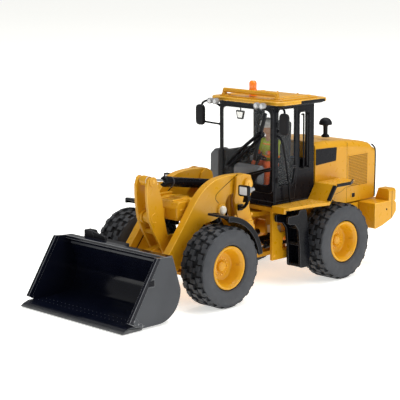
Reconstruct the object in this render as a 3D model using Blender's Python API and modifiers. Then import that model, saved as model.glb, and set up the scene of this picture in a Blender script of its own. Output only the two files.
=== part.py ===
"""A 1:50 articulated wheel loader: hinged frames, cab, lift arms, tilt linkage, bucket and wheels.

-Y is forward (bucket), +X is the loader's left side, +Z is up, and the ground is at Z = 0.
Sizes are millimetres, turned into Blender's metres by MM.
"""

import math

import bmesh
import bpy
from mathutils import Euler, Matrix, Vector

MM = 0.001
GAP = 0.3  # clearance between pieces that touch on the real toy

# Wheels and axles
WHEELBASE = 60.0
FRONT_AXLE_Y = -24.0
REAR_AXLE_Y = FRONT_AXLE_Y + WHEELBASE
AXLE_Z = 14.0
TYRE_RADIUS = 14.0
TYRE_OUTER_X = 27.06
TYRE_WIDTH = 11.06
TYRE_X = TYRE_OUTER_X - TYRE_WIDTH / 2
RIM_RADIUS = 7.5
SPINDLE_RADIUS = 1.2
AXLE_TUBE_RADIUS = 2.5
WHEEL_SIDES = 24

# Ends of the machine
FRONT_Y = -72.0
REAR_Y = 72.0

# Hinge lines, as (Y, Z) unless a comment says otherwise
HITCH_Y = 6.0  # vertical articulation line at X = 0
ARM_PIVOT = (-1.35, 38.4)
LIFT_PIN = (-12.8, 30.5)
LIFT_BASE = (-0.8, 12.0)
LEVER_PIVOT = (-36.8, 29.8)
LEVER_TOP = (-37.6, 42.4)
LEVER_FOOT = (-31.0, 17.8)
BUCKET_PIN = (-43.0, 8.2)
LINK_PIN = (-44.6, 15.6)
TILT_BASE = (-2.5, 36.9)
LIFT_X = 5.2  # centre plane of each lift cylinder
STEER_X = 8.6  # centre line of each steering cylinder
STEER_EYE_Y = 4.6
STEER_BASE_Y = 27.0
STEER_Z = 14.0
STEER_TRAVEL = 4.6  # how far a steering rod slides in at full lock

# Hydraulic cylinders
BORE_BOTTOM = 2.6  # from the barrel's pin to the closed end of its bore
BORE_CLEARANCE = 0.25
PIN_BOSS = 1.7  # radius of the eye round a cylinder's pin

# Lift arms, tower and bucket
ARM_INNER_X = 8.3
ARM_OUTER_X = 11.3
TOWER_INNER_X = 11.8
TOWER_OUTER_X = 12.8
BUCKET_HALF_WIDTH = 26.0
BUCKET_WALL = 0.9

# Rear frame, cab and hood
PLATE_OUTER_X = 14.0
PLATE_THICKNESS = 1.1
CAB_HALF_WIDTH = 14.0
CAB_FRONT_Y = 11.6
CAB_REAR_Y = 33.2
CAB_FLOOR_Z = 28.4
CAB_TOP_Z = 64.5
CAB_WALL = 1.1
ROOF_HALF_WIDTH = 17.9
ROOF_FRONT_Y = 10.0
ROOF_REAR_Y = 36.2
ROOF_TOP_Z = 66.7
HOOD_HALF_WIDTH = 14.0
HOOD_FRONT_Y = 33.5
HOOD_REAR_Y = 68.8
WIPER_BLADE_LENGTH = 19.0
WIPER_BLADE_LEAN = 17
STEERING_WHEEL_CENTRE = (0.5, 18.0, 44.6)
STEERING_WHEEL_TILT = 32

YELLOW = ((0.82, 0.46, 0.03), 0.32, 0.0)
BLACK = ((0.025, 0.025, 0.03), 0.45, 0.0)
DARK_GREY = ((0.09, 0.092, 0.1), 0.5, 0.0)
BUCKET_BLACK = ((0.012, 0.014, 0.02), 0.3, 0.2)
RUBBER = ((0.07, 0.07, 0.075), 0.75, 0.0)
CHROME = ((0.8, 0.8, 0.82), 0.12, 1.0)
GLASS = ((0.85, 0.9, 0.92), 0.05, 0.0)
ORANGE = ((1.0, 0.35, 0.03), 0.25, 0.0)
VEST = ((0.62, 0.75, 0.05), 0.6, 0.0)

SIDES = (("left", 1), ("right", -1))


# ---------------------------------------------------------------- scene and materials

def clear_scene():
    for obj in list(bpy.data.objects):
        bpy.data.objects.remove(obj, do_unlink=True)


def new_collection(name):
    collection = bpy.data.collections.new(name)
    bpy.context.scene.collection.children.link(collection)
    return collection


def material(name, look):
    colour, roughness, metallic = look
    made = bpy.data.materials.new(name)
    made.use_nodes = True
    shader = made.node_tree.nodes["Principled BSDF"]
    shader.inputs["Base Color"].default_value = (*colour, 1.0)
    shader.inputs["Roughness"].default_value = roughness
    shader.inputs["Metallic"].default_value = metallic
    return made


def part(name, obj, look, rider=None, smooth=False):
    """Makes a shape one of the object's pieces, riding on its pivot empty if it moves."""
    obj.name = name
    CUTTERS.objects.unlink(obj)
    PARTS.objects.link(obj)
    obj.hide_render = False
    obj.display_type = "TEXTURED"
    obj.data.materials.clear()
    obj.data.materials.append(material(name, look))
    if smooth:
        obj.data.shade_smooth()
        obj.data.set_sharp_from_angle(angle=math.radians(35))
    if rider:
        obj.parent = rider
        obj.matrix_parent_inverse = Matrix.Translation(-Vector(rider["world"]))
    return obj


def pivot(name, place, parent=None):
    """An empty on a joint's axis. Its world place is kept on it for the pieces that ride on it."""
    empty = bpy.data.objects.new(name, None)
    PARTS.objects.link(empty)
    empty.location = Vector(place) * MM
    empty["world"] = [value * MM for value in place]
    if parent:
        empty.parent = parent
        empty.matrix_parent_inverse = Matrix.Translation(-Vector(parent["world"]))
    return empty


# ---------------------------------------------------------------- shapes (all start as helpers)

def helper(obj):
    CUTTERS.objects.link(obj)
    obj.hide_render = True
    obj.display_type = "WIRE"
    return obj


def mesh_helper(bm, name, turn=(0, 0, 0), place=(0, 0, 0)):
    data = bpy.data.meshes.new(name)
    bm.to_mesh(data)
    bm.free()
    obj = bpy.data.objects.new(name, data)
    obj.rotation_euler = Euler(turn)
    obj.location = Vector(place) * MM
    return helper(obj)


def box(low, high, bevel=0.0, segments=1):
    size = [(b - a) * MM for a, b in zip(low, high)]
    centre = [(a + b) / 2 for a, b in zip(low, high)]
    bm = bmesh.new()
    bmesh.ops.create_cube(bm, size=1.0, matrix=Matrix.Diagonal((*size, 1.0)))
    obj = mesh_helper(bm, "box", place=centre)
    if bevel:
        rounded_edges(obj, bevel, segments)
    return obj


def rounded_edges(obj, width, segments=2, angle=30):
    bevel = obj.modifiers.new("rounded_edges", "BEVEL")
    bevel.width = width * MM
    bevel.segments = segments
    bevel.limit_method = "ANGLE"
    bevel.angle_limit = math.radians(angle)


AXIS_TURN = {"X": (0, math.pi / 2, 0), "Y": (-math.pi / 2, 0, 0), "Z": (0, 0, 0)}


def rod(start, end, radius, sides=16, end_radius=None):
    """A cylinder or cone between two points."""
    a, b = Vector(start), Vector(end)
    bm = bmesh.new()
    top = radius if end_radius is None else end_radius
    bmesh.ops.create_cone(bm, cap_ends=True, segments=sides, radius1=radius * MM, radius2=top * MM,
                          depth=(b - a).length * MM)
    turn = (b - a).to_track_quat("Z", "Y").to_euler()
    return mesh_helper(bm, "rod", turn, (a + b) / 2)


def ball(centre, radius, squash=(1, 1, 1), rings=8, sides=12):
    bm = bmesh.new()
    bmesh.ops.create_uvsphere(bm, u_segments=sides, v_segments=rings, radius=radius * MM)
    bmesh.ops.scale(bm, vec=squash, verts=bm.verts)
    return mesh_helper(bm, "ball", place=centre)


def turned(profile, axis, place, sides=WHEEL_SIDES, ring=False):
    """A profile of (radius, distance along the axis) turned once round; ring closes it on itself."""
    area = sum(a[0] * b[1] - b[0] * a[1] for a, b in zip(profile, profile[1:] + profile[:1]))
    if area > 0:
        profile = profile[::-1]
    data = bpy.data.meshes.new("turned")
    edges = [(i, i + 1) for i in range(len(profile) - 1)]
    if ring:
        edges.append((len(profile) - 1, 0))
    data.from_pydata([(r * MM, 0, along * MM) for r, along in profile], edges, [])
    obj = bpy.data.objects.new("turned", data)
    obj.rotation_euler = Euler(AXIS_TURN[axis])
    obj.location = Vector(place) * MM
    screw = obj.modifiers.new("turn", "SCREW")
    screw.steps = screw.render_steps = sides
    screw.use_merge_vertices = True
    screw.merge_threshold = 0.00001
    return helper(obj)


PLATE_TURN = {
    "X": Matrix(((0, 0, 1), (1, 0, 0), (0, 1, 0))),
    "Y": Matrix(((1, 0, 0), (0, 0, -1), (0, 1, 0))),
    "Z": Matrix.Identity(3),
}


def plate(outline, axis, low, high, holes=()):
    """A flat outline, in the two other axes in X, Y, Z order, that is low to high thick along one axis."""
    curve = bpy.data.curves.new("plate", "CURVE")
    curve.dimensions = "2D"
    curve.fill_mode = "BOTH"
    curve.extrude = (high - low) / 2 * MM
    for points in (outline, *holes):
        spline = curve.splines.new("POLY")
        spline.points.add(len(points) - 1)
        for point, (u, v) in zip(spline.points, points):
            point.co = (u * MM, v * MM, 0, 1)
        spline.use_cyclic_u = True
    obj = bpy.data.objects.new("plate", curve)
    obj.rotation_euler = PLATE_TURN[axis].to_euler()
    middle = (low + high) / 2 * MM
    obj.location = {"X": (middle, 0, 0), "Y": (0, middle, 0), "Z": (0, 0, middle)}[axis]
    return as_mesh(helper(obj))


def tube(points, radius, sides=2):
    """A wire or rail along a list of points."""
    curve = bpy.data.curves.new("tube", "CURVE")
    curve.dimensions = "3D"
    curve.bevel_depth = radius * MM
    curve.bevel_resolution = sides
    curve.use_fill_caps = True
    spline = curve.splines.new("POLY")
    spline.points.add(len(points) - 1)
    for point, place in zip(spline.points, points):
        point.co = (*(Vector(place) * MM), 1)
    return as_mesh(helper(bpy.data.objects.new("tube", curve)))


def as_mesh(curve_object):
    bpy.context.view_layer.update()
    graph = bpy.context.evaluated_depsgraph_get()
    data = bpy.data.meshes.new_from_object(curve_object.evaluated_get(graph))
    bm = bmesh.new()
    bm.from_mesh(data)
    bmesh.ops.remove_doubles(bm, verts=bm.verts, dist=1e-6)
    bmesh.ops.recalc_face_normals(bm, faces=bm.faces)
    bm.to_mesh(data)
    bm.free()
    obj = bpy.data.objects.new(curve_object.name, data)
    obj.matrix_world = curve_object.matrix_world
    bpy.data.objects.remove(curve_object, do_unlink=True)
    return helper(obj)


def combine(base, others, operation, solver="EXACT"):
    for other in others:
        step = base.modifiers.new(operation.lower(), "BOOLEAN")
        step.operation = operation
        step.object = other
        step.solver = solver
    return base


def fuse(base, *others, solver="EXACT"):
    return combine(base, others, "UNION", solver)


def cut(base, *others):
    return combine(base, others, "DIFFERENCE")


def common(base, *others):
    return combine(base, others, "INTERSECT")


def mirrored(obj, side):
    """The same helper for the other side of the machine."""
    if side > 0:
        return obj
    bpy.context.view_layer.update()
    graph = bpy.context.evaluated_depsgraph_get()
    data = bpy.data.meshes.new_from_object(obj.evaluated_get(graph))
    flip = Matrix.Diagonal((-1.0, 1.0, 1.0, 1.0))
    data.transform(flip @ obj.matrix_world)
    data.flip_normals()
    return helper(bpy.data.objects.new(obj.name, data))


# ---------------------------------------------------------------- outlines

def arc(centre, radius, start, end, steps=6):
    """Points on a circle from one angle to another, in degrees."""
    points = []
    for i in range(steps + 1):
        angle = math.radians(start + (end - start) * i / steps)
        points.append((centre[0] + radius * math.cos(angle), centre[1] + radius * math.sin(angle)))
    return points


def circle(centre, radius, steps=20):
    return arc(centre, radius, 0, 360 * (steps - 1) / steps, steps - 1)


def rectangle(low, high):
    return [(low[0], low[1]), (high[0], low[1]), (high[0], high[1]), (low[0], high[1])]


def filleted(points, radius, steps=3):
    """The outline with each corner rounded, by less where an edge is short."""
    made = []
    for i, point in enumerate(points):
        here = Vector(point)
        back = Vector(points[i - 1]) - here
        ahead = Vector(points[(i + 1) % len(points)]) - here
        half = back.angle(ahead) / 2
        reach = min(radius / math.tan(half), back.length * 0.45, ahead.length * 0.45)
        first = here + back.normalized() * reach
        last = here + ahead.normalized() * reach
        for k in range(steps + 1):
            t = k / steps
            made.append(tuple((1 - t) ** 2 * first + 2 * t * (1 - t) * here + t ** 2 * last))
    return made


def capsule(a, b, radius, steps=6):
    """The outline round two points, such as a link's."""
    heading = math.degrees(math.atan2(b[1] - a[1], b[0] - a[0]))
    far_end = arc(b, radius, heading - 90, heading + 90, steps)
    near_end = arc(a, radius, heading + 90, heading + 270, steps)
    return far_end + near_end


def towards(a, b, distance):
    """The point at a distance from a on the line to b."""
    a, b = Vector(a), Vector(b)
    return a + (b - a).normalized() * distance


def on_x(x, point):
    return (x, point[0], point[1])


# ---------------------------------------------------------------- wheels and axles

def make_wheel(name, axle_y, side, rider):
    """Tyre and rim. Distances along the axle run from the wheel's middle towards the outside."""
    half = TYRE_WIDTH / 2
    centre = (side * TYRE_X, axle_y, AXLE_Z)
    bore_radius = SPINDLE_RADIUS + 0.15
    tyre = [
        (RIM_RADIUS + GAP, -half + 1.0), (9.6, -half), (12.6, -half + 0.2), (TYRE_RADIUS, -half + 1.8),
        (TYRE_RADIUS, half - 1.8), (12.6, half - 0.2), (9.6, half), (RIM_RADIUS + GAP, half - 1.0),
    ]
    rim = [
        (0, 1.6), (1.9, 1.6), (2.2, 0.4), (4.6, 0.4), (6.6, 4.5), (RIM_RADIUS, 4.7),
        (RIM_RADIUS, -half + 0.5), (bore_radius, -half + 0.5), (bore_radius, -1.6), (0, -1.6),
    ]
    for label, profile, ring, look in (("tyre", tyre, True, RUBBER), ("rim", rim, False, YELLOW)):
        placed = [(r, along * side) for r, along in profile]
        part(f"{label}_{name}", turned(placed, "X", centre, ring=ring), look, rider, smooth=True)


def make_axle(name, axle_y, rider):
    """A housing with a differential bulge, and a spindle at each end that carries a wheel."""
    inner = TYRE_OUTER_X - TYRE_WIDTH
    half = [
        (4.0, 0), (3.8, 1.6), (AXLE_TUBE_RADIUS, 4.0), (AXLE_TUBE_RADIUS, inner - GAP),
        (SPINDLE_RADIUS, inner - GAP), (SPINDLE_RADIUS, TYRE_X - 2.0), (0, TYRE_X - 2.0),
    ]
    profile = [(r, -along) for r, along in reversed(half)] + half[1:]
    part(name, turned(profile, "X", (0, axle_y, AXLE_Z), sides=16), YELLOW, rider, smooth=True)


# ---------------------------------------------------------------- front frame

def make_front_chassis(rider):
    foot = 9.0
    tower = [
        (-6.6, 41.4), (-3.0, 42.2), (0.2, 41.4), (1.4, 38.4), (0.2, 33.5), (-0.5, 30.4), (0.3, 27.8),
        (2.9, 20.5), (3.0, foot), (-27.0, foot), (-29.4, 12.0), (-29.4, 16.0), (-26.0, 18.4),
        (-11.0, 18.6), (-7.4, 22.0), (-6.1, 26.9), (-7.8, 33.4), (-7.2, 35.6),
    ]
    ear_foot = [(1.6, 30.0), (2.2, foot + 0.3), (-4.0, foot + 0.3), (-4.4, 30.0)]
    ear = [(-4.6, 38.4)] + arc(ARM_PIVOT, 3.2, 180, 0, 5) + ear_foot
    cheek = [(2.7, 22.0), (2.7, 27.0)] + arc(TILT_BASE, 1.8, 20, 200, 4) + [(0.2, 24.0), (1.9, 22.0)]
    base = box((-12.5, -27.0, foot - 0.4), (12.5, 2.8, foot + 0.6))
    hitch_wall = box((-12.4, 1.5, foot + 0.2), (12.4, 2.85, 23.2))
    nose_wall = box((-12.3, -29.3, 11.7), (12.3, -28.4, 15.5))
    more = [hitch_wall, nose_wall]
    axle_hole = circle((FRONT_AXLE_Y, AXLE_Z), AXLE_TUBE_RADIUS + GAP, 12)
    for _, side in SIDES:
        more.append(mirrored(plate(tower, "X", TOWER_INNER_X, TOWER_OUTER_X, [axle_hole]), side))
        more.append(mirrored(plate(ear, "X", 7.3, 7.9), side))
        more.append(mirrored(plate(cheek, "X", 2.3, 2.9), side))
        more.append(mirrored(rod(on_x(11.6, ARM_PIVOT), on_x(13.6, ARM_PIVOT), 2.0, 12), side))
        more.append(mirrored(box((12.4, -8.6, 24.6), (15.6, -1.2, 25.6)), side))
        pad_low = (STEER_X - 2.2, 2.3, STEER_Z - 2.6)
        more.append(mirrored(box(pad_low, (STEER_X + 2.2, 3.3, STEER_Z + 2.6)), side))
    for low, high in ((11.4, 13.0), (20.6, 22.4)):
        lug = arc((0, HITCH_Y), 3.4, 0, 180, 6) + [(-4.6, 2.1), (4.6, 2.1)]
        more.append(plate(lug, "Z", low, high, [circle((0, HITCH_Y), 1.7, 12)]))
    part("front_chassis", fuse(base, *more, solver="MANIFOLD"), YELLOW, rider)


def make_front_fender(name, side, rider):
    """A quadrant over the rear of the front wheel, with its bracket down to the tower."""
    outer_radius = 17.6
    inner_radius = 16.4
    centre = (FRONT_AXLE_Y - 1.0, AXLE_Z)
    first, last = 87, 8
    outer_edge = arc(centre, outer_radius, first, last, 8)
    shell = plate(outer_edge + arc(centre, inner_radius, last, first, 8), "X", 15.9, 26.1)
    lip = plate(outer_edge + arc(centre, inner_radius - 0.8, last, first, 8), "X", 25.4, 26.2)
    stay = box((13.2, -11.4, 21.4), (16.6, -9.6, 24.0))
    part(f"front_fender_{name}", mirrored(fuse(shell, lip, stay), side), BLACK, rider)


def make_headlight(name, side, rider):
    housing = box((16.5, -9.8, 35.7), (21.1, -7.6, 39.5), 0.5)
    back = rod((18.8, -8.0, 37.6), (18.8, -4.4, 37.6), 1.7, 10, 0.9)
    bends = [(18.8, -7.8, 36.4), (18.6, -7.4, 33.0), (17.0, -7.6, 31.4), (13.4, -5.6, 30.6)]
    stalk = tube(bends, 0.5)
    foot = box((13.1, -6.6, 29.6), (13.9, -4.4, 31.8))
    part(f"headlight_{name}", mirrored(fuse(housing, back, stalk, foot), side), BLACK, rider)


# ---------------------------------------------------------------- linkage

def make_lift_arms(rider):
    outline = [
        (-5.9, 42.0), (-10.1, 42.0), (-16.0, 41.1), (-21.3, 38.4), (-25.4, 34.4), (-29.5, 29.0),
        (-37.2, 19.3), (-45.6, 9.6),
    ]
    outline += arc(BUCKET_PIN, 2.9, 160, 320, 5)
    outline += [
        (-35.3, 10.8), (-32.4, 13.6), (-27.2, 20.0), (-22.4, 25.6), (-20.4, 26.6), (-16.6, 27.2),
        (-13.6, 28.2), (-11.4, 30.4), (-9.6, 34.6), (-6.4, 35.4),
    ]
    outline += arc(ARM_PIVOT, 3.4, 260, 450, 6)
    base = box((-9.6, -24.6, 30.6), (9.6, -19.0, 34.8), 0.9)
    more = []
    for _, side in SIDES:
        more.append(mirrored(plate(outline, "X", ARM_INNER_X, ARM_OUTER_X), side))
        lever_ear = capsule((-27.0, 31.6), LEVER_PIVOT, 2.4)
        more.append(mirrored(plate(lever_ear, "X", 4.0, 5.0), side))
        stay = rod(on_x(3.9, (-30.0, 31.0)), on_x(ARM_INNER_X + 0.6, (-27.0, 31.2)), 1.6, 10)
        heads = [
            rod(on_x(ARM_OUTER_X - 0.4, pin), on_x(ARM_OUTER_X + proud, pin), radius, 12)
            for pin, proud, radius in ((LIFT_PIN, 0.5, 1.3), (BUCKET_PIN, 0.6, 1.7))
        ]
        web = box((2.6, -25.6, 30.6), (5.6, -23.6, 33.2))
        more += [mirrored(piece, side) for piece in (stay, *heads, web)]
    part("lift_arms", fuse(base, *more), YELLOW, rider)


def make_tilt_lever(rider):
    front = [
        (-39.2, 43.8), (-40.2, 41.0), (-40.2, 37.6), (-39.9, 34.0), (-39.3, 29.5), (-37.5, 25.2),
        (-34.6, 20.2), (-32.2, 15.8),
    ]
    rear = [
        (-29.2, 17.0), (-30.2, 20.8), (-31.6, 26.0), (-32.6, 30.6), (-33.2, 35.2), (-34.8, 39.6),
        (-35.8, 43.4),
    ]
    outline = filleted(front + rear, 1.6, 1)
    base = rod((-3.7, *LEVER_PIVOT), (3.7, *LEVER_PIVOT), 2.3, 12)
    more = [rod((-2.7, -35.6, 24.6), (2.7, -35.6, 24.6), 0.9, 8)]
    for _, side in SIDES:
        more.append(mirrored(plate(outline, "X", 2.2, 3.3), side))
        more.append(mirrored(rod(on_x(3.2, LEVER_TOP), on_x(3.9, LEVER_TOP), 1.1, 10), side))
        more.append(mirrored(rod(on_x(3.2, LEVER_FOOT), on_x(3.8, LEVER_FOOT), 1.1, 10), side))
    part("tilt_lever", fuse(base, *more), YELLOW, rider)


def make_tilt_link(rider):
    bar = plate(capsule(LEVER_FOOT, LINK_PIN, 1.5), "X", -1.8, 1.8)
    part("tilt_link", bar, YELLOW, rider)


def make_cylinder(name, pins, x, radii, lengths, riders):
    """A hydraulic cylinder in a plane of constant X, from the rod's eye to the barrel's eye."""
    eye, base = pins
    rod_radius, barrel_radius = radii
    barrel_length, closing = lengths  # closing is how far the rod can still slide in

    def from_base(distance):
        return on_x(x, towards(base, eye, distance))

    eye_half = min(barrel_radius, 1.6)
    shaft = rod(from_base(BORE_BOTTOM + closing + GAP), on_x(x, eye), rod_radius, 10)
    eye_ring = rod((x - eye_half, *eye), (x + eye_half, *eye), PIN_BOSS, 12)
    part(f"{name}_rod", fuse(shaft, eye_ring), CHROME, riders[0], smooth=True)
    barrel = rod(from_base(0.9), from_base(barrel_length), barrel_radius, 12)
    mouth = from_base(barrel_length + 0.1)
    gland = rod(from_base(barrel_length - 2.0), mouth, barrel_radius + 0.25, 12)
    base_ring = rod((x - eye_half, *base), (x + eye_half, *base), PIN_BOSS, 12)
    past_mouth = from_base(barrel_length + 2.0)
    bore = rod(from_base(BORE_BOTTOM), past_mouth, rod_radius + BORE_CLEARANCE, 10)
    part(f"{name}_barrel", cut(fuse(barrel, gland, base_ring), bore), BLACK, riders[1], smooth=True)


def make_steering_cylinder(name, side, rod_rider, barrel_rider):
    """Lies level beside the hitch: its rod's eye is on the front frame, its barrel in the rear frame."""
    x = side * STEER_X
    bore_end = STEER_BASE_Y - 1.6
    eye_ring = rod((x, STEER_EYE_Y, STEER_Z - 1.1), (x, STEER_EYE_Y, STEER_Z + 1.1), 1.1, 10)
    shaft = rod((x, STEER_EYE_Y, STEER_Z), (x, bore_end - STEER_TRAVEL - GAP, STEER_Z), 0.55, 8)
    part(f"steering_{name}_rod", fuse(shaft, eye_ring), CHROME, rod_rider, smooth=True)
    barrel = rod((x, 11.8, STEER_Z), (x, STEER_BASE_Y, STEER_Z), 1.5, 10)
    bore = rod((x, 10.0, STEER_Z), (x, bore_end, STEER_Z), 0.55 + BORE_CLEARANCE, 8)
    part(f"steering_{name}_barrel", cut(barrel, bore), BLACK, barrel_rider, smooth=True)


# ---------------------------------------------------------------- bucket

def make_bucket(rider):
    wall = BUCKET_WALL
    heel, radius = (-56.4, 10.6), 9.4  # centre and radius of the floor's curve up into the back
    lip, toe = (-70.2, 2.6), (-69.3, 3.4)
    outer = [(lip[0], 1.9), (-62.0, 1.1), (-56.2, 1.1)] + arc(heel, radius, 275, 362, 7) + [(-50.0, 22.2)]
    inner = [(-50.9, 22.2)] + arc(heel, radius - wall, 362, 275, 7) + [(-56.2, 2.0), (-62.0, 2.0), lip]
    shell = plate(outer + inner, "X", -BUCKET_HALF_WIDTH + 0.2, BUCKET_HALF_WIDTH - 0.2)
    side_outline = [toe, (-63.4, 0.75), (-56.6, 0.75)] + arc(heel, radius + 0.45, 272, 362, 7)
    side_outline += [(-49.8, 22.0), (-55.4, 22.5), (-56.9, 22.7)]
    rooted = radius - wall / 2  # the ears start halfway into the wall
    border = [toe, (-56.9, 22.7), (-55.2, 21.6), (-67.2, 3.0)]
    more = [box((-BUCKET_HALF_WIDTH + 0.4, -52.6, 21.2), (BUCKET_HALF_WIDTH - 0.4, -49.7, 22.3))]
    for _, side in SIDES:
        more.append(mirrored(plate(side_outline, "X", BUCKET_HALF_WIDTH - wall, BUCKET_HALF_WIDTH), side))
        more.append(mirrored(plate(border, "X", BUCKET_HALF_WIDTH - 0.2, BUCKET_HALF_WIDTH + 0.35), side))
        hinge_ear = arc(BUCKET_PIN, 2.6, 280, 440, 6) + [(-49.1, 17.0)] + arc(heel, rooted, 0, -45, 3)
        more.append(mirrored(plate(hinge_ear, "X", 6.4, 7.9), side))
        more.append(mirrored(rod(on_x(7.7, BUCKET_PIN), on_x(8.0, BUCKET_PIN), 1.9, 12), side))
        link_ear = arc(LINK_PIN, 1.9, -50, 110, 5) + [(-49.7, 19.4), (-47.5, 11.2)]
        more.append(mirrored(plate(link_ear, "X", 2.2, 3.2), side))
    edge = [(FRONT_Y, 0.3), (-63.6, 0.3), (-63.6, 0.8), (-69.9, 1.55), (FRONT_Y, 0.75)]
    part("cutting_edge", plate(edge, "X", -BUCKET_HALF_WIDTH, BUCKET_HALF_WIDTH), BUCKET_BLACK, rider)
    more += [
        box((-19.4, -50.2, 20.4), (1.2, -46.4, 22.2)),
        box((-19.4, -49.2, 20.0), (-14.6, -46.4, 24.6)),
        box((-16.4, -48.8, 21.0), (-8.4, -48.0, 24.4)),
    ]
    part("bucket_shell", fuse(shell, *more), BUCKET_BLACK, rider)


# ---------------------------------------------------------------- rear frame

def make_rear_chassis():
    inner_x = PLATE_OUTER_X - PLATE_THICKNESS
    side_plate = [
        (10.4, 9.0), (27.0, 9.0), (28.4, 12.0), (30.2, 18.9), (42.0, 18.9), (44.0, 15.4), (58.6, 15.4),
        (58.6, 24.2), (36.0, 24.2), (34.6, 28.0), (10.4, 28.0),
    ]
    upper_hole = [(13.0, 20.6), (14.6, 18.6), (22.6, 19.4), (25.0, 25.2), (13.2, 26.0)]
    lower_hole = [(15.6, 12.0), (20.4, 12.4), (20.8, 16.6), (16.2, 17.2)]
    holes = [filleted(upper_hole, 1.2, 2), filleted(lower_hole, 1.0, 2)]
    spine = box((-8.6, 44.0, 15.6), (8.6, 58.6, 24.2))
    more = [
        box((-inner_x - 0.4, 12.0, 26.4), (inner_x + 0.4, 34.6, 28.0)),
        box((-inner_x - 0.4, 28.2, 18.9), (inner_x + 0.4, 29.8, 28.0)),
        box((-inner_x - 0.4, 57.4, 15.4), (inner_x + 0.4, 58.6, 24.2)),
        box((-4.6, 13.4, 8.8), (4.6, 28.0, 10.2)),
        box((-4.6, 26.8, 8.8), (4.6, 28.2, 28.0)),
        box((-inner_x - 0.4, 29.4, 18.9), (inner_x + 0.4, 58.0, 20.0)),
        box((-inner_x - 0.4, 24.8, 9.0), (inner_x + 0.4, 27.0, 10.4)),
    ]
    for low, high in ((8.8, 10.4), (24.0, 25.6)):
        root = [(6.0, 12.0), (6.0, 28.0), (-6.0, 28.0), (-6.0, 12.0)]
        tongue = arc((0, HITCH_Y), 3.0, 180, 360, 8) + root
        more.append(plate(tongue, "Z", low, high, [circle((0, HITCH_Y), 1.7, 12)]))
    for _, side in SIDES:
        more.append(mirrored(plate(side_plate, "X", inner_x, PLATE_OUTER_X, holes), side))
    part("rear_chassis", fuse(spine, *more), YELLOW)
    shank = rod((0, HITCH_Y, 8.2), (0, HITCH_Y, 26.4), 1.4, 16)
    pin_head = rod((0, HITCH_Y, 25.9), (0, HITCH_Y, 26.8), 2.2, 6)
    part("articulation_pin", fuse(shank, pin_head), CHROME)
    shaft = rod((0, 12.4, 13.6), (0, 25.8, 13.6), 1.2, 12)
    joint = rod((0, 11.6, 13.6), (0, 13.4, 13.6), 1.9, 12)
    part("drive_shaft", fuse(shaft, joint), BLACK)


def make_counterweight():
    slab = [
        (59.0, 14.4), (63.8, 15.4), (69.6, 17.4), (REAR_Y, 20.0), (REAR_Y, 23.2), (70.8, 24.5),
        (59.0, 24.5),
    ]
    base = plate(slab, "X", -22.0, 22.0)
    more = []
    for _, side in SIDES:
        corner = [(14.9, 24.0), (22.0, 24.0), (22.0, 28.2), (21.2, 29.0), (16.6, 29.0)]
        more.append(mirrored(plate(corner, "Y", 67.4, 71.6), side))
    grooves = [mirrored(box((21.4, 69.0, 13.0), (23.0, 69.5, 30.0)), side) for _, side in SIDES]
    part("counterweight", cut(fuse(base, *more), *grooves), YELLOW)


def make_hood():
    outline = [
        (HOOD_FRONT_Y, 34.4), (36.4, 34.4), (41.6, 28.8), (46.4, 24.8), (HOOD_REAR_Y - 1.2, 24.8),
        (HOOD_REAR_Y, 26.0), (HOOD_REAR_Y, 43.0), (66.4, 45.9), (59.0, 47.6), (51.0, 48.5), (40.0, 49.2),
        (HOOD_FRONT_Y, 49.4),
    ]
    body = plate(outline, "X", -HOOD_HALF_WIDTH, HOOD_HALF_WIDTH)
    weights = body.data.attributes.new("bevel_weight_edge", "FLOAT", "EDGE")
    for edge, weight in zip(body.data.edges, weights.data):
        ends = [body.matrix_world @ body.data.vertices[i].co for i in edge.vertices]
        along = abs(ends[0].x - ends[1].x) < 1e-6 and min(end.z for end in ends) > 42.9 * MM
        weight.value = 1.0 if along else 0.0
    shoulder = body.modifiers.new("shoulder", "BEVEL")
    shoulder.width = 2.6 * MM
    shoulder.segments = 3
    shoulder.limit_method = "WEIGHT"
    pockets = [mirrored(box((13.4, 52.0, 30.2), (15.0, 64.2, 43.0)), side) for _, side in SIDES]
    pockets.append(box((-11.0, HOOD_REAR_Y - 0.8, 28.0), (11.0, HOOD_REAR_Y + 1, 41.4)))
    part("hood", cut(body, *pockets), YELLOW)
    for name, side in SIDES:
        grille = box((13.7, 52.3, 30.5), (14.15, 63.9, 42.7))
        part(f"side_grille_{name}", mirrored(grille, side), BLACK)
    cleaner = [
        (0, 57.0), (0.9, 56.9), (1.8, 56.3), (2.5, 55.2), (2.45, 54.5), (1.2, 54.2), (0.85, 53.6),
        (0.85, 50.6), (1.5, 50.3), (1.5, 49.6), (0, 49.6),
    ]
    part("precleaner", turned(cleaner, "Z", (8.0, 46.0, 0.1), sides=12), BLACK, smooth=True)


def make_platform(name, side):
    """Tread plate beside the cab that steps up over the rear wheel."""
    bent = [
        (9.8, 29.2), (29.2, 29.2), (33.2, 35.0), (46.6, 35.0), (46.6, 33.9), (33.8, 33.9), (29.8, 28.1),
        (9.8, 28.1),
    ]
    inner = CAB_HALF_WIDTH + GAP
    plan = [
        (inner, 9.8), (19.6, 9.8), (21.6, 11.2), (22.2, 20.0), (24.4, 28.6), (24.4, 41.0), (21.0, 46.6),
        (inner, 46.6),
    ]
    sheet = plate(bent, "X", inner, 24.6)
    column = plate(plan, "Z", 25.0, 40.0)
    shaped = common(sheet, column)
    skirt = box((inner, 9.8, 26.8), (20.2, 10.9, 28.6))
    part(f"platform_{name}", mirrored(fuse(shaped, skirt), side), YELLOW)


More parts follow.
